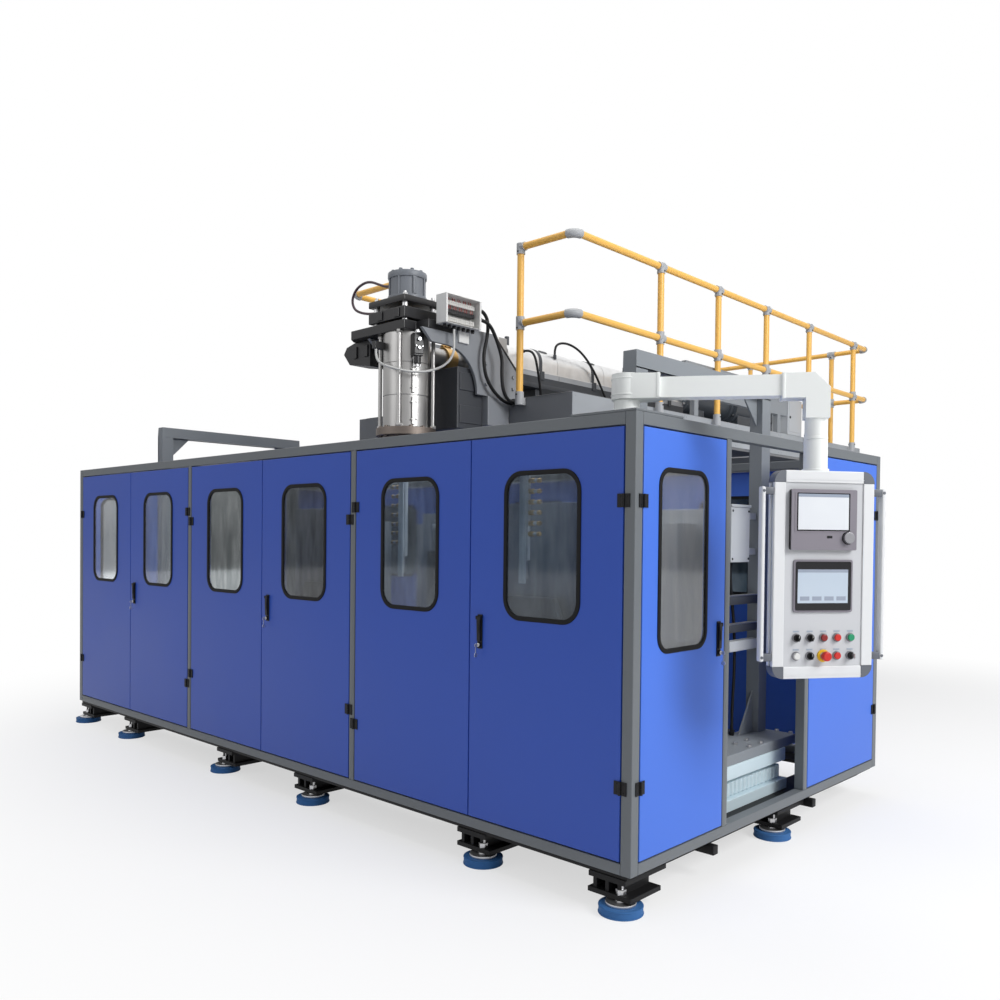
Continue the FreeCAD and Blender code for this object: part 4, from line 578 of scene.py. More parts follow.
TO_RIGHT_END = turned_to(CABINET_HALF, 0, 90)
END_PINS = ((0.053, 1), (2.393, -1))
door("end_door", 0.056, 0.684, *END_PINS[0], END_HINGES, END_WINDOW, END_LOCK, TO_RIGHT_END)
door("end_panel", 1.543, 2.390, *END_PINS[1], END_HINGES, None, None, TO_RIGHT_END)

# The fixed hinge leaves on the posts, with their pins and screws: black steel like the
# moving ones, screwed to the tube beside each door.


def fixed_leaf(x, z, side):
    """The leaf on the post with the lower half of the barrel and the pin."""
    hinge_leaf(x, z, -side, -0.0265, -0.0005)
    rod(x, -0.007, (z - 0.0005, z + 0.022), 0.003, 12)


for y, side in END_PINS:
    for z in END_HINGES:
        fixed_leaf(y, z, side)
bmesh.ops.transform(bm, matrix=TO_RIGHT_END, verts=bm.verts)
for start, hinges in zip(BAY_STARTS, BAY_HINGES):
    for z in hinges:
        fixed_leaf(start + GAP / 2, z, 1)
        fixed_leaf(start + BAY - GAP / 2, z, -1)
piece("post_hinges", hinge_black, ["door_hinges"])

# The bright parts: turned, ground and sheet steel and aluminium. Fine drawn lines, faint
# smears and a little change of tone are one group, with its lines along one axis.
metal_group, asked, given = finish_group(
    "worked_metal", (0.6, 0.6, 0.6, 1),
    {"Tone": 0.1, "Roughness": 0.3, "Lines": 1.0, "Smears": 0.15, "Across": 6.0, "Along": 250.0})
place = grow(metal_group, "TexCoord").outputs["Object"]
stretch = grow(metal_group, "CombineXYZ", {"X": asked["Across"], "Y": asked["Across"],
                                           "Z": asked["Along"]}).outputs[0]
drawn_at = grow(metal_group, "VectorMath", {0: place, 1: stretch}, operation="MULTIPLY")
drawn = noise(metal_group, drawn_at.outputs[0], 1.0, 3.0)
smear = noise(metal_group, place, 5.0, 6.0)
swing = worked(metal_group, "SUBTRACT", worked(metal_group, "ADD", drawn, smear), 1.0)
shade = worked(metal_group, "MULTIPLY_ADD", swing, asked["Tone"], 1.0)
toned = grow(metal_group, "VectorMath", {0: asked["Colour"], "Scale": shade}, operation="SCALE")
feed(metal_group, given, {
    "Colour": toned.outputs[0],
    "Roughness": worked(metal_group, "MULTIPLY_ADD", smear, asked["Smears"], asked["Roughness"]),
    "Height": worked(metal_group, "MULTIPLY", drawn, asked["Lines"])})


def bright(name, colour, roughness=0.3, tone=0.12, smears=0.15, lines=0.5, grain=(6.0, 250.0)):
    """A bare metal finish. grain is how fine its lines are across them and along Z."""
    values = {"Colour": (*colour, 1), "Roughness": roughness, "Tone": tone, "Smears": smears,
              "Lines": lines, "Across": grain[0], "Along": grain[1]}
    return finish(name, metal_group, values, {"Metallic": 1.0})


ground_steel = bright("ground_steel", (0.60, 0.60, 0.61))

# The lock levers: slim black handles that lie in their plates and lift from below. Under
# each sits the lock's bright cylinder with its key hanging in it.
locks = [("front_door_%d" % (2 * bay + 2), LOCKS[bay], None) for bay in range(3)]
locks.append(("end_door", END_LOCK, TO_RIGHT_END))
for number, (carrier, (x, z), turned) in enumerate(locks, 1):
    lever = cuboid(x - 0.0105, x + 0.0105, -0.0165, -0.0058, z - 0.042, z + 0.0674)
    low_front = [v for v in lever if v.co.y < -0.012 and v.co.z < z]
    bmesh.ops.translate(bm, vec=(0, 0.0035, 0), verts=low_front)
    heel = [e for e in bm.edges if all(v.co.y > -0.007 and v.co.z > z for v in e.verts)]
    soften(heel, 0.0058, 1)
    soften([e for e in bm.edges if e.calc_face_angle(0) > 0.3], 0.0015)
    cuboid(x - 0.006, x + 0.006, -0.0168, -0.013, z - 0.006, z + 0.040, 0.0008)
    handle = "lock_handle_%d" % number
    piece("lock_lever_%d" % number, hinge_black, [handle], handle, turned)
    rod(x, (-0.0155, -0.012), z - 0.059, 0.0085, 24, 0.001)
    cuboid(x - 0.0008, x + 0.0008, -0.026, -0.0145, z - 0.0635, z - 0.0545, 0.0003)
    rod((x - 0.001, x + 0.001), -0.026, z - 0.060, 0.009, 20, 0.0004)
    cuboid(x - 0.0007, x + 0.0007, -0.030, -0.024, z - 0.100, z - 0.066, 0.0003)
    rod((x - 0.001, x + 0.001), -0.027, z - 0.104, 0.010, 20, 0.0004)
    piece("lock_key_%d" % number, ground_steel, (), carrier, turned)

# The fixed guards: blue sheets close the rear and the left end, each with a window like the
# doors' in its black seal. The rear windows are wider; their panes' near-black tint is painted
# shade.


def dress(material, *names):
    """Gives CAD solids that stay in view their finish."""
    for name in names:
        mesh = node[name].data
        mesh.materials.clear()
        mesh.materials.append(material)


# The guards take the lighter copy of the doors' blue, which is painted light.
dress(lit_blue, "guard_panels")
TO_REAR = turned_to(0, CABINET_DEPTH, 180)
TO_LEFT_END = Matrix.Scale(-1, 4, (1, 0, 0)) @ TO_RIGHT_END
guards = [(window_at(start + BAY / 2, GUARD_WINDOW), rear_shade_glass, TO_REAR) for start in BAY_STARTS]
guards.append((END_WINDOW, window_glass, TO_LEFT_END))
for number, (window, glass, turned) in enumerate(guards, 1):
    glaze("guard_%%s_%d" % number, window, glass,
          ["guard_windows"] if number == 1 else (), turned=turned)

# Base and feet: a black welded raft on six pairs of levelling feet. Each foot is a bright
# disc and screw on a blue rubber pad, under a bracket of plate.
SHARP_FROM = math.radians(32)


def softened(name, material, node_name, edge, body="machine"):
    """Stands for a node with its own shape, its sharp edges eased by a small round."""
    bm.from_mesh(node[node_name].data)
    bmesh.ops.remove_doubles(bm, verts=bm.verts, dist=1e-5)
    bmesh.ops.dissolve_limit(bm, angle_limit=math.radians(0.4), verts=bm.verts, edges=bm.edges)
    soften([e for e in bm.edges if len(e.link_faces) == 2 and e.calc_face_angle(0) > SHARP_FROM],
           edge, clamp=True)
    bmesh.ops.translate(bm, vec=-DATUM, verts=bm.verts)
    return piece(name, material, [node_name], body)


base_black = painted("base_black", (0.006, 0.006, 0.007), 0.45, dust=0.02, gloss=0.2)
softened("base_raft", base_black, "base_frame", 0.003)
softened("foot_plates", base_black, "foot_brackets", 0.002)
pad_blue = painted("pad_blue", (0.016, 0.12, 0.34), 0.6, dust=0.1, gloss=0.25)
feet = [(side * x, y) for side in (1, -1) for x in (2.552, 1.791, 0.469) for y in (0.041, 1.312)]
for x, y in feet:
    rod(x, y, (0.0, 0.006), 0.0906, 48, 0.002)
    rod(x, y, (0.005, 0.028), 0.088, 48)
    rod(x, y, (0.026, 0.034), 0.0898, 48, 0.003)
piece("rubber_pads", pad_blue, ["foot_pads"])
for x, y in feet:
    rod(x, y, (0.034, 0.046), 0.062, 48, 0.002)
    rod(x, y, (0.045, 0.050), 0.024, 6, 0.0015)
    rod(x, y, (0.070, 0.092), 0.021, 6, 0.002)
    rod(x, y, (0.088, 0.112), 0.012, 20, 0.0015)
piece("foot_discs", ground_steel, ["foot_screws"])

# The bed's ends: two pale blue machined guide beams with a toothed rack between them, and
# over each a goal-post frame of grey tube on a thick plate, with gussets in its corners.
guide_blue = painted("guide_blue", (0.60, 0.72, 0.77), 0.33, dust=0.05)
softened("guides_and_rack", guide_blue, "guide_beams", 0.002)
portal_grey = painted("portal_grey", (0.225, 0.245, 0.265), 0.42, dust=0.03)
softened("portals", portal_grey, "portal_frames", 0.003)
for side in (-1, 1):
    for y in (0.452, 0.600, 1.300, 1.420, 1.756):
        for x in (2.350, 2.430):
            rod(side * x, y, (0.425, 0.437), 0.012, 6, 0.0015)
piece("plate_bolts", ground_steel)

# The two clamp stations: dark blue-grey shuttle carriages on ground rails, and on each a
# pair of platens with the aluminium halves of a container mould between them.
dress(ground_steel, "shuttle_rails")
clamp_dark = painted("clamp_dark", (0.055, 0.070, 0.095), 0.4, dust=0.05)
# Platens and moulds share one bare metal, made far darker than the other steel: painted shade of
# the cabinet's dim inside.
mould_steel = bright("mould_steel", (0.34, 0.36, 0.38), 0.36, lines=0.7, grain=(120.0, 4.0))
for side in ("left", "right"):
    carriage = "carriage_" + side
    softened("shuttle_" + side, clamp_dark, carriage, 0.002, carriage)
    for half in ("front", "rear"):
        platen = "platen_%s_%s" % (side, half)
        softened(platen + "_and_mould", mould_steel, platen, 0.0015, platen)

# The extruder's platform: grey welded beams on six legs with a steel deck, and round it a
# yellow tube handrail in grey cast clamps, with a socket on the deck beam for each post.
platform_grey = painted("platform_grey", (0.155, 0.165, 0.180), 0.42, dust=0.03)
softened("platform", platform_grey, "platform_frame", 0.003)
rail_yellow = painted("rail_yellow", (0.94, 0.53, 0.11), 0.30, tone=0.05, peel=0.0)
dress(rail_yellow, "handrail_tubes")
clamp_grey = painted("clamp_grey", (0.42, 0.43, 0.44), 0.42, tone=0.2, peel=0.1)
dress(clamp_grey, "handrail_fittings")
# Each post with the way its clamps' screws point, and the screws' heights and heads.
# The rear posts' screws are sunk, so that they stay within the machine's depth.
posts = [(0.899, y, 1, 0) for y in (2.753, 3.576, 4.389, 5.231, 6.253)]
posts += [(x, 6.586, 0, 1) for x in (0.530, -0.420, -1.370)]
posts += [(0.424, 1.745, 0, 1), (-0.760, 1.745, 0, 1), (-1.446, 2.400, 1, 0)]
SCREW_LEVELS = ((3.433, 0.0345), (2.911, 0.0345), (2.455, 0.034))
DEEPEST, SUNK_HEAD = 6.600, 0.0295
for x, y, across, along in posts:
    for z, head in SCREW_LEVELS:
        for way in (1, -1):
            out = SUNK_HEAD if y + way * along * 0.030 > DEEPEST else head
            rod((x + way * across * 0.026, x + way * across * out),
                (y + way * along * 0.026, y + way * along * out), z, 0.006, 6, 0.0005)
piece("clamp_screws", hinge_black)
zinc = painted("zinc", (0.36, 0.38, 0.40), 0.40, tone=0.45)
for y0, y1 in ((1.783, 3.150), (3.152, 4.750), (4.752, 6.548)):
    cuboid(0.8625, 0.8640, y0, y1, 2.243, 2.437)
    for y in (y0 + 0.030, (y0 + y1) / 2, y1 - 0.030):
        for z in (2.262, 2.418):
            rod((0.8635, 0.8665), y, z, 0.006, 12, 0.001)
piece("deck_side_plates", zinc)

# The die head: a polished round body in three heater bands between a flange and a black
# plate, with four bright tie rods, and under the flange the nozzle that makes the parison.
head_steel = bright("head_steel", (0.42, 0.415, 0.41), 0.24, tone=0.22, smears=0.25, lines=0.3,
                    grain=(30.0, 5.0))
flange_brown = bright("flange_brown", (0.20, 0.17, 0.15), 0.42, tone=0.3)
HEAD_Y, HEAD_RADIUS = 1.089, 0.156
HEAD_LOW, HEAD_HIGH = 2.186, 2.812


def ring_point(angle, radius, x=0.0, y=0.0):
    """A point on a ring round a centre."""
    return x + radius * math.cos(math.radians(angle)), y + radius * math.sin(math.radians(angle))


rod(0, HEAD_Y, (HEAD_LOW, HEAD_HIGH), HEAD_RADIUS - 0.005, 96)
for low, high in ((2.190, 2.393), (2.398, 2.607), (2.612, 2.808)):
    rod(0, HEAD_Y, (low, high), HEAD_RADIUS, 96, 0.002)
    for angle in (-24, 100):
        seam = cuboid(HEAD_RADIUS - 0.004, HEAD_RADIUS + 0.016, -0.011, 0.011,
                      low + 0.012, high - 0.012, 0.0015)
        bmesh.ops.transform(bm, matrix=turned_to(0, HEAD_Y, angle), verts=seam)
        x, y = ring_point(angle, HEAD_RADIUS + 0.010, 0, HEAD_Y)
        dx, dy = ring_point(angle + 90, 0.020)
        for z in (low + 0.045, high - 0.045):
            rod((x - dx, x + dx), (y - dy, y + dy), z, 0.005, 12, 0.001)
for angle in range(34, 360, 90):
    tie_rod = ring_point(angle, 0.182, 0, HEAD_Y)
    rod(*tie_rod, (HEAD_LOW, HEAD_HIGH), 0.013, 20)
    for z in (HEAD_LOW + 0.010, HEAD_HIGH - 0.010):
        rod(*tie_rod, (z - 0.010, z + 0.010), 0.021, 6, 0.0015)
piece("head_body", head_steel, ["die_head"])
rod(0, HEAD_Y, (HEAD_LOW - 0.052, HEAD_LOW), 0.200, 96, 0.003)
for angle in range(0, 360, 30):
    rod(*ring_point(angle, 0.172, 0, HEAD_Y), (HEAD_LOW - 0.060, HEAD_LOW + 0.012), 0.012, 12,
        0.0015)
rod(0, HEAD_Y, (2.134, 1.954), 0.160, 64, 0.002, 0.095)
rod(0, HEAD_Y, (1.954, 1.894), 0.080, 64, 0.002)
piece("head_flange", flange_brown)

# Over the head: two black plates on bright spacers carry the blue-grey cylinder that works
# the parison's wall thickness. The lower plate runs out to the left over a faceted hood.
plate_black = painted("plate_black", (0.012, 0.012, 0.014), 0.33)


def slab(outline, by, edge=0.0):
    """A flat plate of any outline, pushed to its thickness, with softened edges."""
    face = bm.faces.new([bm.verts.new(point) for point in outline])
    corners = list(face.verts)
    corners += push([face], by)
    if edge:
        soften(edges_at(corners), edge)


outline = ((0.160, 0.929), (0.160, 1.030), (0.281, 1.030), (0.281, 1.260), (-0.380, 1.260),
           (-0.453, 1.190), (-0.453, 0.990), (-0.400, 0.929))
slab([(x, y, HEAD_HIGH) for x, y in outline], (0, 0, 0.060), 0.004)
for low, high in ((2.886, 2.960), (2.992, 3.034)):
    cuboid(-0.210, 0.160, 0.929, 1.249, low, high, 0.005)
for x in (-0.110, 0.060):
    cuboid(x, x + 0.050, 0.921, 0.929, 2.894, 2.952, 0.002)
cuboid(-0.084, -0.048, 0.862, 0.944, 2.700, 2.748, 0.003)
piece("head_plate_stack", plate_black, ["head_plates"])
for x in (-0.170, 0.120):
    for y in (0.969, 1.209):
        for low, high in ((2.872, 2.886), (2.960, 2.992)):
            rod(x, y, (low, high), 0.020, 32, 0.001)
        rod(x, y, (3.034, 3.052), 0.017, 6, 0.002)
        rod(x, y, (3.050, 3.064), 0.010, 20, 0.001)
rod((-0.222, -0.210), HEAD_Y, 3.013, 0.016, 6, 0.001)
rod((-0.142, -0.126), HEAD_Y, 3.170, 0.016, 6, 0.001)
piece("plate_spacers", ground_steel)
cylinder_grey = painted("cylinder_grey", (0.190, 0.205, 0.230), 0.36)
rod(0, HEAD_Y, (3.034, 3.062), 0.130, 64, 0.004)
rod(0, HEAD_Y, (3.060, 3.180), 0.119, 64, 0.002)
rod(0, HEAD_Y, (3.176, 3.220), 0.130, 64, 0.008)
for index in range(8):
    angle = 22.5 + 45 * index
    rod(*ring_point(angle, 0.098, 0, HEAD_Y), (3.218, 3.235), 0.013, 6, 0.002)
    rod(*ring_point(angle, 0.124, 0, HEAD_Y), (3.060, 3.178), 0.0055, 12)
cuboid(0.104, 0.126, 1.040, 1.064, 3.062, 3.176, 0.003)
piece("thickness_cylinder", cylinder_grey, ["accumulator_cylinder"])

# The valve stack at the head's front right: a black block with bright unions, a small
# cylinder below it on two rods, between the tie rods and under the plate.
TO_VALVE = turned_to(0, HEAD_Y, -20)
cuboid(0.152, 0.228, -0.032, 0.032, 2.652, 2.786, 0.003)
rod(0.192, 0, (2.592, 2.652), 0.025, 32, 0.002)
cuboid(0.160, 0.222, -0.030, 0.030, 2.640, 2.654, 0.002)
piece("valve_block", plate_black, turned=TO_VALVE)
rod(0.196, 0, (2.786, 2.812), 0.015, 24, 0.001)
rod(0.196, 0, (2.790, 2.802), 0.021, 6, 0.001)
rod((0.228, 0.244), 0, 2.745, 0.013, 6, 0.001)
rod((0.228, 0.238), 0, 2.690, 0.011, 6, 0.001)
for y in (-0.022, 0.022):
    rod(0.192, y, (2.572, 2.640), 0.004, 12, 0.0005)
    rod((0.206, 0.240), y, 2.700, 0.0045, 12, 0.0005)
rod(0.192, 0, (2.574, 2.592), 0.013, 24, 0.001)
piece("valve_unions", ground_steel, turned=TO_VALVE)

# The hood under the plate's left end: folded sheet in black paint, bolted up to the plate,
# with two lugs on its front.
hood = ((-0.281, 2.812), (-0.453, 2.812), (-0.545, 2.790), (-0.578, 2.745), (-0.510, 2.665),
        (-0.281, 2.632))
slab([(x, 1.000, z) for x, z in hood], (0, 0.180, 0), 0.004)
for x in (-0.460, -0.340):
    cuboid(x, x + 0.040, 0.990, 1.000, 2.700, 2.780, 0.002)
piece("head_hood", plate_black)

# The head's bracket: two thick cheeks with a quarter-round underside over a dark housing,
# bolted through a spine to the platform's front, where a deep box beam takes the load.
bracket_grey = painted("bracket_grey", (0.255, 0.268, 0.288), 0.4)
bracket_dark = painted("bracket_dark", (0.042, 0.046, 0.054), 0.42)
ARCH = 0.290
ARCH_Y, ARCH_Z = 1.480, 2.730
cheek = ((1.268, 2.872), (1.640, 2.872), (1.890, 2.640), (1.890, 2.440), (ARCH_Y, 2.440),
         (ARCH_Y, ARCH_Z), (1.061, ARCH_Z), (0.975, 2.812), (1.268, 2.812))
for side, name, replaced in ((1, "right", ["head_bracket"]), (-1, "left", ())):
    slab([(side * 0.256, y, z) for y, z in cheek], (side * 0.025, 0, 0))
    inner_corner = [e for e in bm.edges if all(
        abs(v.co.y - ARCH_Y) < 1e-5 and abs(v.co.z - ARCH_Z) < 1e-5 for v in e.verts)]
    soften(inner_corner, ARCH - 0.0005, 20)
    soften([e for e in bm.edges if len(e.link_faces) == 2 and e.calc_face_angle(0) > 0.6], 0.003)
    for y, z in ((1.56, 2.52), (1.56, 2.66), (1.83, 2.52), (1.83, 2.60), (1.72, 2.70)):
        rod((side * 0.279, side * 0.293), y, z, 0.013, 6, 0.0015)
    piece("bracket_cheek_" + name, bracket_grey, replaced)
cuboid(-0.294, 0.294, 1.570, 1.781, 2.240, 2.440, 0.005)
piece("bracket_beam", bracket_grey)
cuboid(-0.256, 0.256, 1.660, 1.885, 2.440, 2.560, 0.004)
cuboid(-0.240, 0.240, 1.330, 1.570, 2.200, 2.615, 0.006)
for z in (2.300, 2.520):
    cuboid(0.236, 0.246, 1.350, 1.550, z - 0.060, z + 0.060, 0.003)
piece("bracket_housing", bracket_dark)
# A black edge strip lies on the right cheek's sloping back.
strip = ((1.648, 2.8655), (1.882, 2.6484), (1.882, 2.6304), (1.640, 2.855))
slab([(0.258, y, z) for y, z in strip], (0.027, 0, 0), 0.001)
piece("bracket_edge_strip", plate_black)

# The extruder's barrel: under a bright half-round sheet cover with a lip, flat skirts and
# dark clamping straps, standing on a dark channel. In front, a bright neck with a brass
# heater band leads into the head.
cover_bright = bright("cover_bright", (0.80, 0.80, 0.80), 0.20, tone=0.25, smears=0.30, lines=0.2,
                      grain=(14.0, 14.0))
skirt_grey = bright("skirt_grey", (0.44, 0.46, 0.49), 0.40, tone=0.15, lines=0.4, grain=(3.0, 90.0))
brass = bright("brass", (0.62, 0.40, 0.16), 0.30, tone=0.2)
BARREL_Z, COVER_R, SKIRT_X = 2.800, 0.118, 0.130
COVER_FRONT, COVER_REAR = 1.960, 4.300
SKIRT_LOW, LIP_Z, LIP = 2.684, 2.728, 0.008
DECK_Z, CHANNEL_Z = 2.440, 2.600


def half_round(radius, y0, y1, thick):
    """A sheet bent over the barrel: a half-round top on two straight sides."""
    start = bm.verts.new((radius, y0, LIP_Z))
    corner = bm.verts.new((radius, y0, BARREL_Z))
    bm.edges.new((start, corner))
    spun = bmesh.ops.spin(bm, geom=[corner], cent=(0, y0, BARREL_Z), axis=(0, -1, 0),
                          angle=math.pi, steps=36)
    last = next(g for g in spun["geom_last"] if isinstance(g, bmesh.types.BMVert))
    bm.edges.new((last, bm.verts.new((-radius, y0, LIP_Z))))
    line = [e for e in bm.edges
            if not e.link_faces and all(abs(v.co.y - y0) < 1e-5 for v in e.verts)]
    pulled = bmesh.ops.extrude_edge_only(bm, edges=line)["geom"]
    bmesh.ops.translate(bm, vec=(0, y1 - y0, 0),
                        verts=[g for g in pulled if isinstance(g, bmesh.types.BMVert)])
    faces = [g for g in pulled if isinstance(g, bmesh.types.BMFace)]
    bmesh.ops.recalc_face_normals(bm, faces=faces)
    if faces[0].normal.x < 0 < faces[0].calc_center_median().x:
        bmesh.ops.reverse_faces(bm, faces=faces)
    bmesh.ops.solidify(bm, geom=faces, thickness=thick)


joints = (COVER_FRONT, 2.520, 3.110, 3.700, COVER_REAR)
for first, last in zip(joints, joints[1:]):
    half_round(COVER_R - 0.002, first + 0.0015, last - 0.0015, 0.002)
for side in (-1, 1):
    cuboid(side * (COVER_R - 0.003), side * SKIRT_X, COVER_FRONT, COVER_REAR,
           LIP_Z - LIP, LIP_Z, 0.0015)
rod(0, (COVER_FRONT, COVER_FRONT + 0.006), BARREL_Z, COVER_R - 0.004, 64, 0.001)
rod(0, (1.940, COVER_REAR), BARREL_Z, 0.095, 64)
piece("barrel_cover", cover_bright, ["extruder_barrel"])
for side in (-1, 1):
    for first, last in zip(joints, joints[1:]):
        cuboid(side * (SKIRT_X - 0.004), side * SKIRT_X, first + 0.002, last - 0.002,
               SKIRT_LOW, LIP_Z - LIP, 0.001)
piece("barrel_skirts", skirt_grey)
for y in (2.300, 2.943, 3.497, 4.050):
    half_round(COVER_R + 0.0005, y, y + 0.034, 0.004)
    for side in (-1, 1):
        cuboid(side * SKIRT_X, side * (SKIRT_X + 0.008), y - 0.006, y + 0.040,
               LIP_Z - 0.062, LIP_Z + 0.004, 0.002)
        rod((side * (SKIRT_X + 0.004), side * (SKIRT_X + 0.0078)), y + 0.017, LIP_Z - 0.052,
            0.010, 20, 0.001)
cuboid(-SKIRT_X, SKIRT_X, COVER_FRONT, COVER_REAR, CHANNEL_Z, CHANNEL_Z + 0.040, 0.003)
for side in (-1, 1):
    cuboid(side * SKIRT_X, side * (SKIRT_X - 0.005), COVER_FRONT, COVER_REAR,
           CHANNEL_Z + 0.038, SKIRT_LOW, 0.001)
for y in (2.280, 3.900):
    cuboid(-0.100, 0.100, y, y + 0.060, DECK_Z, CHANNEL_Z, 0.003)
for y in (2.600, 3.200, 3.800):
    cuboid(-0.060, 0.060, y, y + 0.060, CHANNEL_Z + 0.040, 2.700, 0.002)
rod(0.064, 1.995, (2.885, 2.950), 0.017, 32, 0.003)
rod(0.100, 2.500, (2.855, 2.889), 0.014, 6, 0.001)
rod((0.112, 0.142), 2.100, 2.850, 0.014, 6, 0.001)
# Three dark oval plates on the cover's top stand for its slots: painted shade of the openings.
SLOT_TILT = Matrix.Rotation(math.radians(32), 4, "Y") @ Matrix.Rotation(math.radians(90), 4, "X")
for y in (2.400, 3.000, 3.620):
    slot = rounded_plate(-0.016, 0.016, -0.045, 0.045, -0.0015, 0.0015, 0.0155)
    bmesh.ops.transform(bm, matrix=Matrix.Translation((0.0630, y, 2.9005)) @ SLOT_TILT, verts=slot)
piece("barrel_straps", bracket_dark)
NECK_Z = 2.700
rod(0, (1.240, 1.850), NECK_Z, 0.070, 64)
rod(0, (1.560, 1.600), NECK_Z, 0.105, 48, 0.003)
for angle in range(0, 360, 45):
    x, z = ring_point(angle, 0.088, 0, NECK_Z)
    rod(x, (1.545, 1.615), z, 0.009, 6, 0.001)
cuboid(-0.110, 0.110, 1.850, 1.950, 2.610, 2.920, 0.006)
for x in (-0.085, 0.085):
    for z in (2.650, 2.765, 2.880):
        rod(x, (1.840, 1.852), z, 0.012, 6, 0.0015)
piece("barrel_neck", head_steel)
rod(0, (1.400, 1.490), NECK_Z, 0.084, 64, 0.002)
cuboid(-0.014, 0.014, 1.405, 1.485, 2.778, 2.804, 0.002)
for y in (1.425, 1.465):
    rod((-0.024, 0.024), y, 2.793, 0.005, 12, 0.001)
piece("neck_heater", brass)

# Behind the barrel: a cast feed housing with its throat, the gearbox and a finned motor, in
# dark blue-grey paint on welded feet.
drive_blue = painted("drive_blue", (0.075, 0.088, 0.105), 0.36)
for name in ("feed_housing", "gearbox", "drive_motor"):
    softened(name + "_cast", drive_blue, name, 0.003)
for y, radius in ((4.300, 0.164), (5.150, 0.196), (5.650, 0.182)):
    for angle in range(0, 360, 30):
        x, z = ring_point(angle, radius, 0, BARREL_Z)
        rod(x, (y - 0.012, y + 0.052), z, 0.009, 6, 0.001)
piece("drive_bolts", ground_steel)

# The terminal box on the right cheek: a pale sheet box, open towards the right, with three
# rows of terminals and their wires inside, and seven black glands below.
box_light = painted("box_light", (0.80, 0.80, 0.78), 0.4)
service_grey = painted("service_grey", (0.46, 0.48, 0.50), 0.4)
terminal_white = painted("terminal_white", (0.66, 0.65, 0.62), 0.45, tone=0.3)
wire_red = painted("wire_red", (0.50, 0.05, 0.04), 0.4)
BACK, MOUTH = 0.297, 0.392
BOX_FRONT, BOX_REAR = 1.081, 1.399
BOX_FOOT, BOX_TOP = 2.843, 3.030
WALL = 0.003
TERMINALS, TERMINAL_STEP = 17, 0.0165
cuboid(BACK, BACK + WALL, BOX_FRONT, BOX_REAR, BOX_FOOT, BOX_TOP)
for y in (BOX_FRONT, BOX_REAR - WALL):
    cuboid(BACK, MOUTH, y, y + WALL, BOX_FOOT, BOX_TOP, 0.001)
for z in (BOX_FOOT, BOX_TOP - WALL):
    cuboid(BACK, MOUTH, BOX_FRONT, BOX_REAR, z, z + WALL, 0.001)
cuboid(0.281, BACK, 1.290, 1.380, 2.760, 3.000, 0.002)
for y in (BOX_FRONT + WALL, BOX_REAR - 0.015):
    cuboid(MOUTH - 0.004, MOUTH - 0.0005, y, y + 0.012, BOX_FOOT + WALL, BOX_TOP - WALL, 0.0005)
piece("terminal_case", box_light, ["terminal_box"])
for name, material, low in (("upper", terminal_white, 2.972), ("middle", plate_black, 2.920),
                            ("lower", terminal_white, 2.868)):
    for index in range(TERMINALS):
        y = BOX_FRONT + 0.019 + TERMINAL_STEP * index
        cuboid(BACK + WALL, BACK + 0.049, y, y + 0.0145, low, low + 0.029, 0.0012)
        rod((BACK + 0.048, BACK + 0.052), y + 0.007, low + 0.020, 0.0042, 10, 0.0004)
    piece("terminals_" + name, material)
for index in range(TERMINALS):
    y = BOX_FRONT + 0.026 + TERMINAL_STEP * index
    if index % 3 != 1:
        rod((BACK + 0.040, BACK + 0.030), (y, y + 0.004), (3.000, 3.024), 0.0024, 8)
        rod((BACK + 0.051, BACK + 0.049), (y, y + 0.002), (2.968, 2.942), 0.0020, 8)
piece("terminal_wires", wire_red)
for index in range(7):
    y = BOX_FRONT + 0.030 + 0.042 * index
    rod(0.345, y, (2.829, BOX_FOOT), 0.013, 6, 0.001)
    rod(0.345, y, (2.821, 2.830), 0.0115, 20, 0.001)
for x, z in ((0.330, 2.995), (0.372, 2.915)):
    rod(x, (BOX_REAR, 1.411), z, 0.018, 6, 0.001)
    rod(x, (1.769, 1.781), 2.405, 0.018, 6, 0.001)
for x, y in ((0.152, 3.170), (0.200, 2.225)):
    rod(x, y, (DECK_Z, 2.470), 0.014, 6, 0.001)
piece("cable_glands", hinge_black)

# The end bay's fittings: a grey junction box with screwed corners on two struts, and dark
# guide bars with ground tops below it. On the platform, a plain cabinet and a cable trunk.
BAY_LEFT, BAY_RIGHT, BAY_NEAR, BAY_FAR = 2.245, 2.290, 1.336, 1.648
GUIDE_TOPS = (1.175, 1.026)
cuboid(2.215, BAY_RIGHT, BAY_NEAR, 1.531, 1.352, 1.640, 0.004)
cuboid(2.209, 2.296, 1.331, 1.536, 1.640, 1.654, 0.003)
cuboid(0.700, 0.858, 4.905, 5.190, DECK_Z, 2.770, 0.005)
cuboid(0.856, 0.861, 4.925, 5.170, 2.470, 2.750, 0.002)
for z in (1.390, 1.580):
    cuboid(2.240, 2.265, 1.531, BAY_FAR, z, z + 0.035, 0.002)
cuboid(BAY_LEFT, BAY_RIGHT, BAY_NEAR, BAY_FAR, 0.886, 0.940, 0.003)
piece("junction_box", service_grey, ["service_boxes"])
for low, high in zip((1.130, 0.985), GUIDE_TOPS):
    cuboid(BAY_LEFT, BAY_RIGHT, BAY_NEAR, BAY_FAR, low, high, 0.004)
piece("end_bay_bars", bracket_dark)
for high in GUIDE_TOPS:
    cuboid(2.248, 2.287, 1.340, 1.645, high - 0.001, high + 0.004, 0.001)
    rod(2.2675, (1.322, 1.340), high - 0.022, 0.012, 24, 0.002)
piece("end_bay_strips", ground_steel)
for y in (1.350, 1.517):
    for z in (1.370, 1.620):
        rod((2.288, 2.293), y, z, 0.006, 16, 0.001)
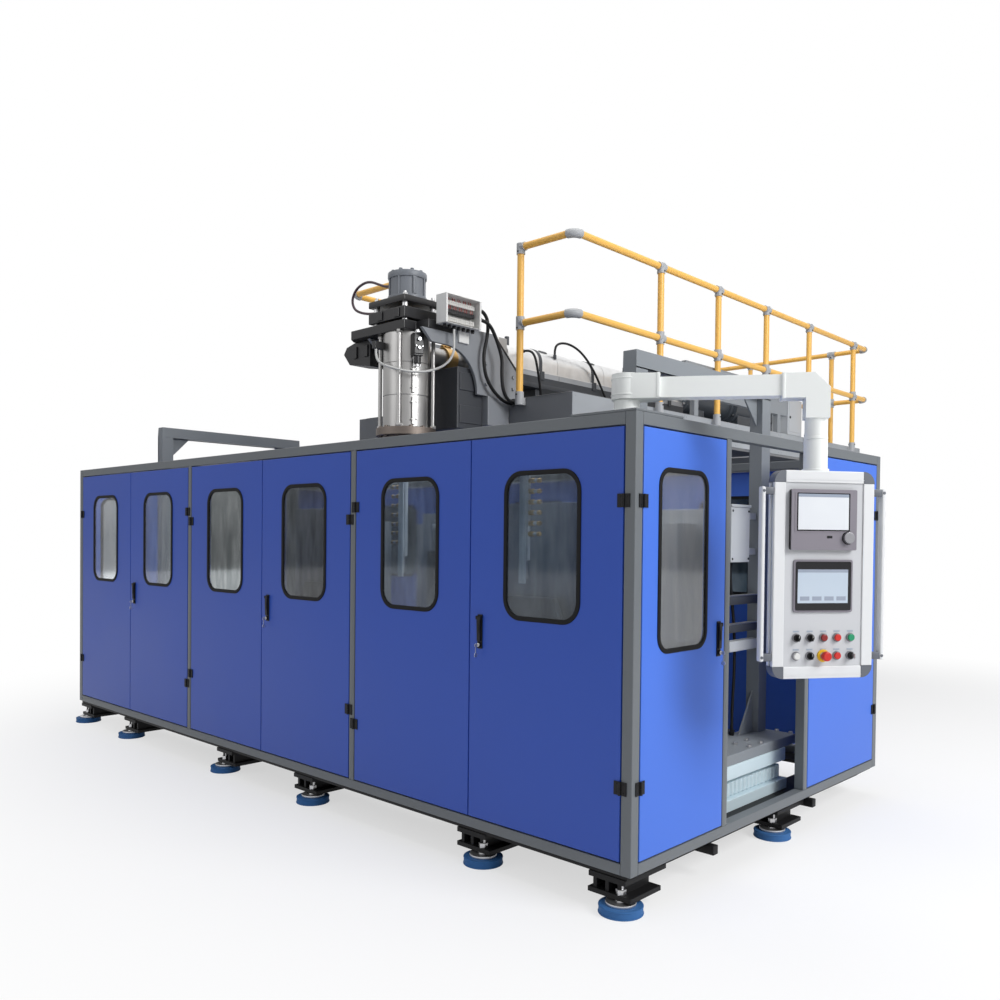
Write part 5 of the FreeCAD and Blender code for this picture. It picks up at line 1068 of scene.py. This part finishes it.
rod(2.228, 1.440, (1.334, 1.352), 0.013, 6, 0.001)
rod(2.228, 1.480, (0.425, 0.445), 0.013, 6, 0.001)
rod((0.858, 0.866), 4.945, 2.600, 0.012, 20, 0.002)
piece("junction_screws", hinge_black)
trunk_grey = painted("trunk_grey", (0.26, 0.28, 0.30), 0.4)
softened("trunking", trunk_grey, "cable_trunk", 0.003)

# The control arm: a white turret on the cabinet's corner plate, a square beam that swings
# on it, a chamfered elbow and a round drop to the box.
arm_white = painted("arm_white", (0.84, 0.86, 0.84), 0.34, tone=0.03)
CORNER_PLATE_TOP = 1.9705
turret = softened("arm_turret", arm_white, "arm_base", 0.003).data
turret.materials.append(frame_grey)
for polygon in turret.polygons:
    top = max(turret.vertices[v].co.z for v in polygon.vertices)
    polygon.material_index = int(top < CORNER_PLATE_TOP)
softened("swing_arm", arm_white, "control_arm", 0.006, "control_arm")
ARM_X, ARM_Y, ARM_TURN, ARM_REACH = 2.439, 0.197, 33.1, 0.745
for z0, z1 in ((2.052, 2.058), (2.118, 2.124)):
    rod(0, 0, (z0, z1), 0.0665, 64, 0.001)
rod(0, 0, (2.136, 2.144), 0.050, 48, 0.002)
rod(ARM_REACH, 0, (1.868, 1.880), 0.046, 48, 0.002)
cuboid(0.118, 0.134, -0.064, 0.064, 2.040, 2.140, 0.003)
cuboid(0.608, 0.622, -0.050, 0.050, 2.028, 2.131, 0.003)
piece("arm_rings", arm_white, (), "control_arm", turned_to(ARM_X, ARM_Y, ARM_TURN))

# The control box: a white housing whose front frame is two slotted profiles and two plain
# ones with grey rounded corners, round a pale panel. Two grips stand off its sides.
ON_BOX = turned_to(*ring_point(ARM_TURN, ARM_REACH, ARM_X, ARM_Y), 55)
panel_white = painted("panel_white", (0.53, 0.54, 0.56), 0.38, tone=0.03, peel=0.4)
profile_white = painted("profile_white", (0.68, 0.69, 0.70), 0.34, tone=0.03)
corner_grey = painted("corner_grey", (0.11, 0.12, 0.14), 0.42, tone=0.08)
# This blue-grey is painted shade on the housing's sides and in the profiles' slots; the legend
# strips use it too.
side_shade_and_legend_blue = painted("side_shade_and_legend_blue", (0.33, 0.38, 0.45), 0.34, tone=0.05)
HALF, RAIL = 0.214, 0.047
BOX_LOW, BOX_HIGH = 0.932, 1.740
PANEL_LOW, PANEL_HIGH = BOX_LOW + RAIL, BOX_HIGH - RAIL
RIM, PANEL, RIM_BACK = -0.075, -0.070, -0.025
BODY_HALF, BODY_BACK = 0.154, 0.055


def on_box(name, material, replaces=(), body="control_box"):
    """One piece of the control box, drawn about its upright axis with its face to the front."""
    piece(name, material, replaces, body, ON_BOX)


cuboid(RAIL - HALF, HALF - RAIL, PANEL, RIM_BACK, PANEL_LOW, PANEL_HIGH)
cuboid(-BODY_HALF, BODY_HALF, RIM_BACK, BODY_BACK, BOX_LOW + 0.060, BOX_HIGH, 0.006)
cuboid(-0.130, 0.130, BODY_BACK, BODY_BACK + 0.003, BOX_LOW + 0.090, BOX_HIGH - 0.040, 0.002)
for x in (-0.110, 0.110):
    for z in (BOX_LOW + 0.110, BOX_HIGH - 0.060):
        rod(x, (BODY_BACK + 0.002, BODY_BACK + 0.006), z, 0.006, 6, 0.001)
on_box("box_housing", panel_white, ["control_box"])
rod(0, 0, (BOX_HIGH, BOX_HIGH + 0.012), 0.052, 48, 0.002)
rod(0, 0, (BOX_HIGH + 0.010, 1.8675), 0.046, 48, 0.002)
on_box("box_neck", arm_white)
for side in (-1, 1):
    for y0, y1 in ((RIM, -0.057), (-0.043, RIM_BACK)):
        cuboid(side * HALF, side * (HALF - RAIL), y0, y1, PANEL_LOW, PANEL_HIGH, 0.003)
    cuboid(side * (HALF - 0.008), side * (HALF - RAIL), -0.058, -0.042, PANEL_LOW, PANEL_HIGH)
    cuboid(side * (HALF + 0.036), side * (HALF + 0.052), RIM, -0.045, 1.000, 1.675, 0.005, 3)
for z in (BOX_LOW, PANEL_HIGH):
    cuboid(RAIL - HALF, HALF - RAIL, RIM, RIM_BACK, z, z + RAIL, 0.003)
    cuboid(RAIL - HALF, HALF - RAIL, RIM - 0.0015, RIM + 0.001, z + 0.012, z + 0.014)
on_box("box_profiles", profile_white, ["box_frame"])
for side in (-1, 1):
    inner, outer = side * (HALF - RAIL), side * HALF
    for z0, z1 in ((PANEL_LOW, BOX_LOW), (PANEL_HIGH, BOX_HIGH)):
        outer_edge = [e for e in edges_at(cuboid(inner, outer, RIM, RIM_BACK, z0, z1)) if all(
            abs(v.co.x - outer) < 1e-5 and abs(v.co.z - z1) < 1e-5 for v in e.verts)]
        soften(outer_edge, RAIL - 0.001, 10)
    for z in (1.000, 1.643):
        cuboid(outer, side * (HALF + 0.038), -0.073, -0.047, z + 0.002, z + 0.030, 0.003)
        rod(side * (HALF + 0.044), (RIM - 0.001, RIM + 0.001), z + 0.016, 0.006, 16, 0.001)
on_box("box_corners", corner_grey)
# Thin blue-grey sheets on the housing's sides and in the profiles' slots: painted shade on the
# white housing.
for side in (-1, 1):
    cuboid(side * (HALF - 0.0075), side * (HALF - 0.006), -0.057, -0.043, PANEL_LOW, PANEL_HIGH)
    cuboid(side * BODY_HALF, side * (BODY_HALF + 0.0005), -0.020, 0.050,
           BOX_LOW + 0.070, BOX_HIGH - 0.010)
on_box("box_side_painted_shade", side_shade_and_legend_blue)

# The two operator screens: the upper one in a grey-mauve bezel with a silver knob, the
# lower in a flat rim of the same moulding. Both are switched on and show plain fields.
bezel_mauve = painted("bezel_mauve", (0.20, 0.185, 0.215), 0.4, tone=0.04)
mask_black = painted("mask_black", (0.010, 0.010, 0.012), 0.16, tone=0.02, peel=0.1)


def lit_glass(name, colour, tint):
    """A lit screen: a glossy pane with a soft change of tone down its height."""
    material, tree, shader = fresh(name)
    glow = noise(tree, grow(tree, "TexCoord").outputs["Object"], 4.0, 2.0)
    shown = blended(tree, glow, (*colour, 1), (*tint, 1))
    feed(tree, shader, {"Base Color": shown, "Roughness": 0.14, "Emission Color": shown,
                        "Emission Strength": 0.18})
    return material


screen_white = lit_glass("screen_white", (0.66, 0.68, 0.70), (0.58, 0.60, 0.64))
screen_blue = lit_glass("screen_blue", (0.47, 0.53, 0.60), (0.40, 0.47, 0.55))
field_grey = painted("field_grey", (0.30, 0.34, 0.42), 0.2, tone=0.02, peel=0.0)
KNOB_X, KNOB_Z = 0.091, 1.480
rounded_plate(-0.150, 0.129, 1.432, 1.667, -0.090, -0.0862, 0.006, 4)
rounded_plate(-0.136, 0.104, 1.502, 1.657, -0.0915, -0.089, 0.004, 4)
on_box("upper_bezel", bezel_mauve, ["touch_screens"])
rounded_plate(-0.129, 0.123, 1.190, 1.395, -0.0765, PANEL, 0.010, 6)
for x in (-0.119, 0.118):
    for z in (1.442, 1.658):
        rod(x, (-0.0905, -0.089), z, 0.003, 12)
on_box("lower_rim", bezel_mauve)
cuboid(0.001, 0.024, -0.0905, -0.0895, 1.478, 1.488, 0.0003)
rod(KNOB_X, (-0.0915, -0.0895), KNOB_Z, 0.0255, 64)
rounded_plate(-0.121, 0.115, 1.198, 1.387, -0.0792, -0.0755, 0.006, 6)
rounded_plate(-0.1492, 0.1282, 1.4328, 1.6662, -0.0866, PANEL, 0.006, 4)
rounded_plate(-0.128, 0.098, 1.506, 1.653, -0.0920, -0.0910, 0.002, 3)
on_box("screen_masks", mask_black)
cuboid(-0.123, 0.092, -0.0926, -0.0915, 1.511, 1.649)
on_box("upper_screen", screen_white)
cuboid(-0.114, 0.101, -0.0799, -0.0790, 1.226, 1.357)
on_box("lower_screen", screen_blue)
cuboid(-0.123, 0.092, -0.0930, -0.0924, 1.637, 1.649)
cuboid(-0.114, 0.101, -0.0803, -0.0797, 1.345, 1.357)
for x in (-0.104, -0.052, 0.0, 0.052):
    cuboid(x, x + 0.040, -0.0803, -0.0797, 1.236, 1.252)
on_box("screen_fields", field_grey)
knob_silver = bright("knob_silver", (0.28, 0.28, 0.30), 0.36, tone=0.08)
rod(KNOB_X, (-0.1045, -0.0918), KNOB_Z, 0.0220, 64, 0.0015, 0.0235)
cuboid(KNOB_X - 0.001, KNOB_X + 0.001, -0.1050, -0.1040, 1.488, 1.500, 0.0002)
on_box("dial_knob", knob_silver, ["screen_knob"], "screen_knob")

# The push buttons, selectors, lamps and key switch: 22 mm units in silver bezels, and the
# emergency stop in a yellow one, with a blank legend strip over each.
STEP, FIRST = 0.058, 0.003 - 2 * 0.058
ROW_Z = (1.091, 1.020)
STOP_PLACE = (2, 1)
red_cap = painted("red_cap", (0.55, 0.018, 0.012), 0.24, tone=0.03, peel=0.1)
dark_red = painted("dark_red", (0.22, 0.012, 0.014), 0.18, tone=0.03, peel=0.1)
green_cap = painted("green_cap", (0.010, 0.26, 0.12), 0.24, tone=0.03, peel=0.1)
lamp_white = painted("lamp_white", (0.66, 0.66, 0.64), 0.2, tone=0.03, peel=0.1)
stop_yellow = painted("stop_yellow", (0.78, 0.48, 0.02), 0.35, tone=0.03, peel=0.2)


def at(column, row):
    """A unit's place on the panel."""
    return FIRST + STEP * column, ROW_Z[row]


def bezel(x, z, outer=0.0172, height=0.007):
    """The fixed bezel of a panel unit: a stepped ring round its moving head."""
    section = [bm.verts.new((x + out, PANEL - rise, z)) for out, rise in (
        (0.0142, 0.0), (0.0142, height + 0.0005), (0.0146, height + 0.001),
        (outer - 0.0020, height + 0.001), (outer - 0.0010, height), (outer, height - 0.0012),
        (outer, 0.0))]
    sides = [bm.edges.new((a, b)) for a, b in zip(section, section[1:] + section[:1])]
    bmesh.ops.spin(bm, geom=section + sides, cent=(x, 0, z), axis=(0, 1, 0), angle=2 * math.pi,
                   steps=48, use_merge=True)


def stub(x, z, out, rest, radius, sides=40, rim=0.0, rest_radius=None):
    """A round head that stands out of the panel to a height, and starts at another."""
    rod(x, (PANEL - out, PANEL - rest), z, radius, sides, rim, rest_radius)


def blade(x, z, half_width, out, rest, low, high, edge=0.0, segments=2):
    """An upright bar on a head: half its width, its two heights, and its ends."""
    cuboid(x - half_width, x + half_width, PANEL - out, PANEL - rest, z + low, z + high,
           edge, segments)


places = [(column, row) for column in range(5) for row in range(2)]
for place in places:
    if place != STOP_PLACE:
        bezel(*at(*place))
on_box("unit_bezels", knob_silver)
for x, z in (at(*place) for place in places):
    cuboid(x - 0.013, x + 0.013, PANEL - 0.0008, PANEL + 0.0005, z + 0.0215, z + 0.0275, 0.0003)
on_box("legend_strips", side_shade_and_legend_blue)
bezel(*at(*STOP_PLACE), 0.025, 0.005)
on_box("stop_ring", stop_yellow)
for name, place, material in (("lamp_red", (2, 0), dark_red), ("lamp_pale", (0, 1), lamp_white)):
    stub(*at(*place), 0.015, 0.0, 0.0135, rim=0.003)
    on_box(name, material)
for name, place, material, slot in (("button_red_upper", (3, 0), red_cap, "button_red"),
                                    ("button_green", (4, 0), green_cap, "button_green"),
                                    ("button_red_lower", (3, 1), red_cap, "button_red")):
    stub(*at(*place), 0.014, 0.0055, 0.0138, rim=0.002)
    stub(*at(*place), 0.0143, 0.010, 0.0102, rim=0.0006)
    on_box(name + "_cap", material, [name], name)
for name, place in (("selector_1", (0, 0)), ("selector_2", (1, 0)), ("selector_3", (1, 1))):
    stub(*at(*place), 0.016, 0.0005, 0.0136, rim=0.0015)
    blade(*at(*place), 0.004, 0.026, 0.015, -0.012, 0.012, 0.0018, 3)
    on_box(name + "_knob", hinge_black, [name], name)
    blade(*at(*place), 0.0007, 0.0263, 0.0255, 0.001, 0.0105)
    on_box(name + "_mark", lamp_white, (), name)
stub(*at(*STOP_PLACE), 0.022, 0.0075, 0.0118)
stub(*at(*STOP_PLACE), 0.038, 0.022, 0.0175, 56, 0.003, 0.020)
on_box("stop_mushroom", red_cap, ["emergency_stop"], "emergency_stop")
stub(*at(4, 1), 0.016, 0.0005, 0.0136, rim=0.0012)
on_box("key_switch_head", hinge_black, ["key_switch"], "key_switch")
blade(*at(4, 1), 0.0011, 0.026, 0.014, -0.0045, 0.0045, 0.0004)
blade(*at(4, 1), 0.0015, 0.040, 0.024, -0.010, 0.010, 0.0014, 3)
on_box("key_switch_key", ground_steel, (), "key_switch")

# Inside, behind the right-hand bay's windows: two cooling-water manifolds hung from the
# front top rail, pale blocks with a row of brass and steel unions down one side.
manifold_white = painted("manifold_white", (0.86, 0.87, 0.88), 0.35)
MANIFOLD_LOW, UNION_Y = 1.270, 0.070
for number, (x, side, rows) in enumerate(((1.187, -1, 7), (2.000, 1, 6)), 1):
    levels = [1.715 - 0.046 * row for row in range(rows)]
    cuboid(x - 0.024, x + 0.024, 0.058, 0.078, MANIFOLD_LOW + 0.100, 1.775, 0.002)
    cuboid(x - 0.018, x + 0.018, 0.050, 0.058, MANIFOLD_LOW, 1.955, 0.001)
    piece("manifold_%d" % number, manifold_white)
    for z in levels:
        rod((x + side * 0.022, x + side * 0.052), UNION_Y, z, 0.011, 6, 0.001)
        rod((x + side * 0.072, x + side * 0.088), UNION_Y, z, 0.010, 6, 0.001)
    piece("manifold_unions_%d" % number, brass)
    for z in levels:
        rod((x + side * 0.050, x + side * 0.074), UNION_Y, z, 0.008, 20, 0.001)
        rod(x, (0.050, 0.092), z, 0.006, 6, 0.0008)
    rod(x, 0.068, (MANIFOLD_LOW + 0.100, MANIFOLD_LOW + 0.030), 0.014, 24, 0.001)
    rod((x - 0.016, x + 0.016), 0.068, MANIFOLD_LOW + 0.030, 0.010, 24, 0.001)
    piece("manifold_stubs_%d" % number, ground_steel)

low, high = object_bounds()
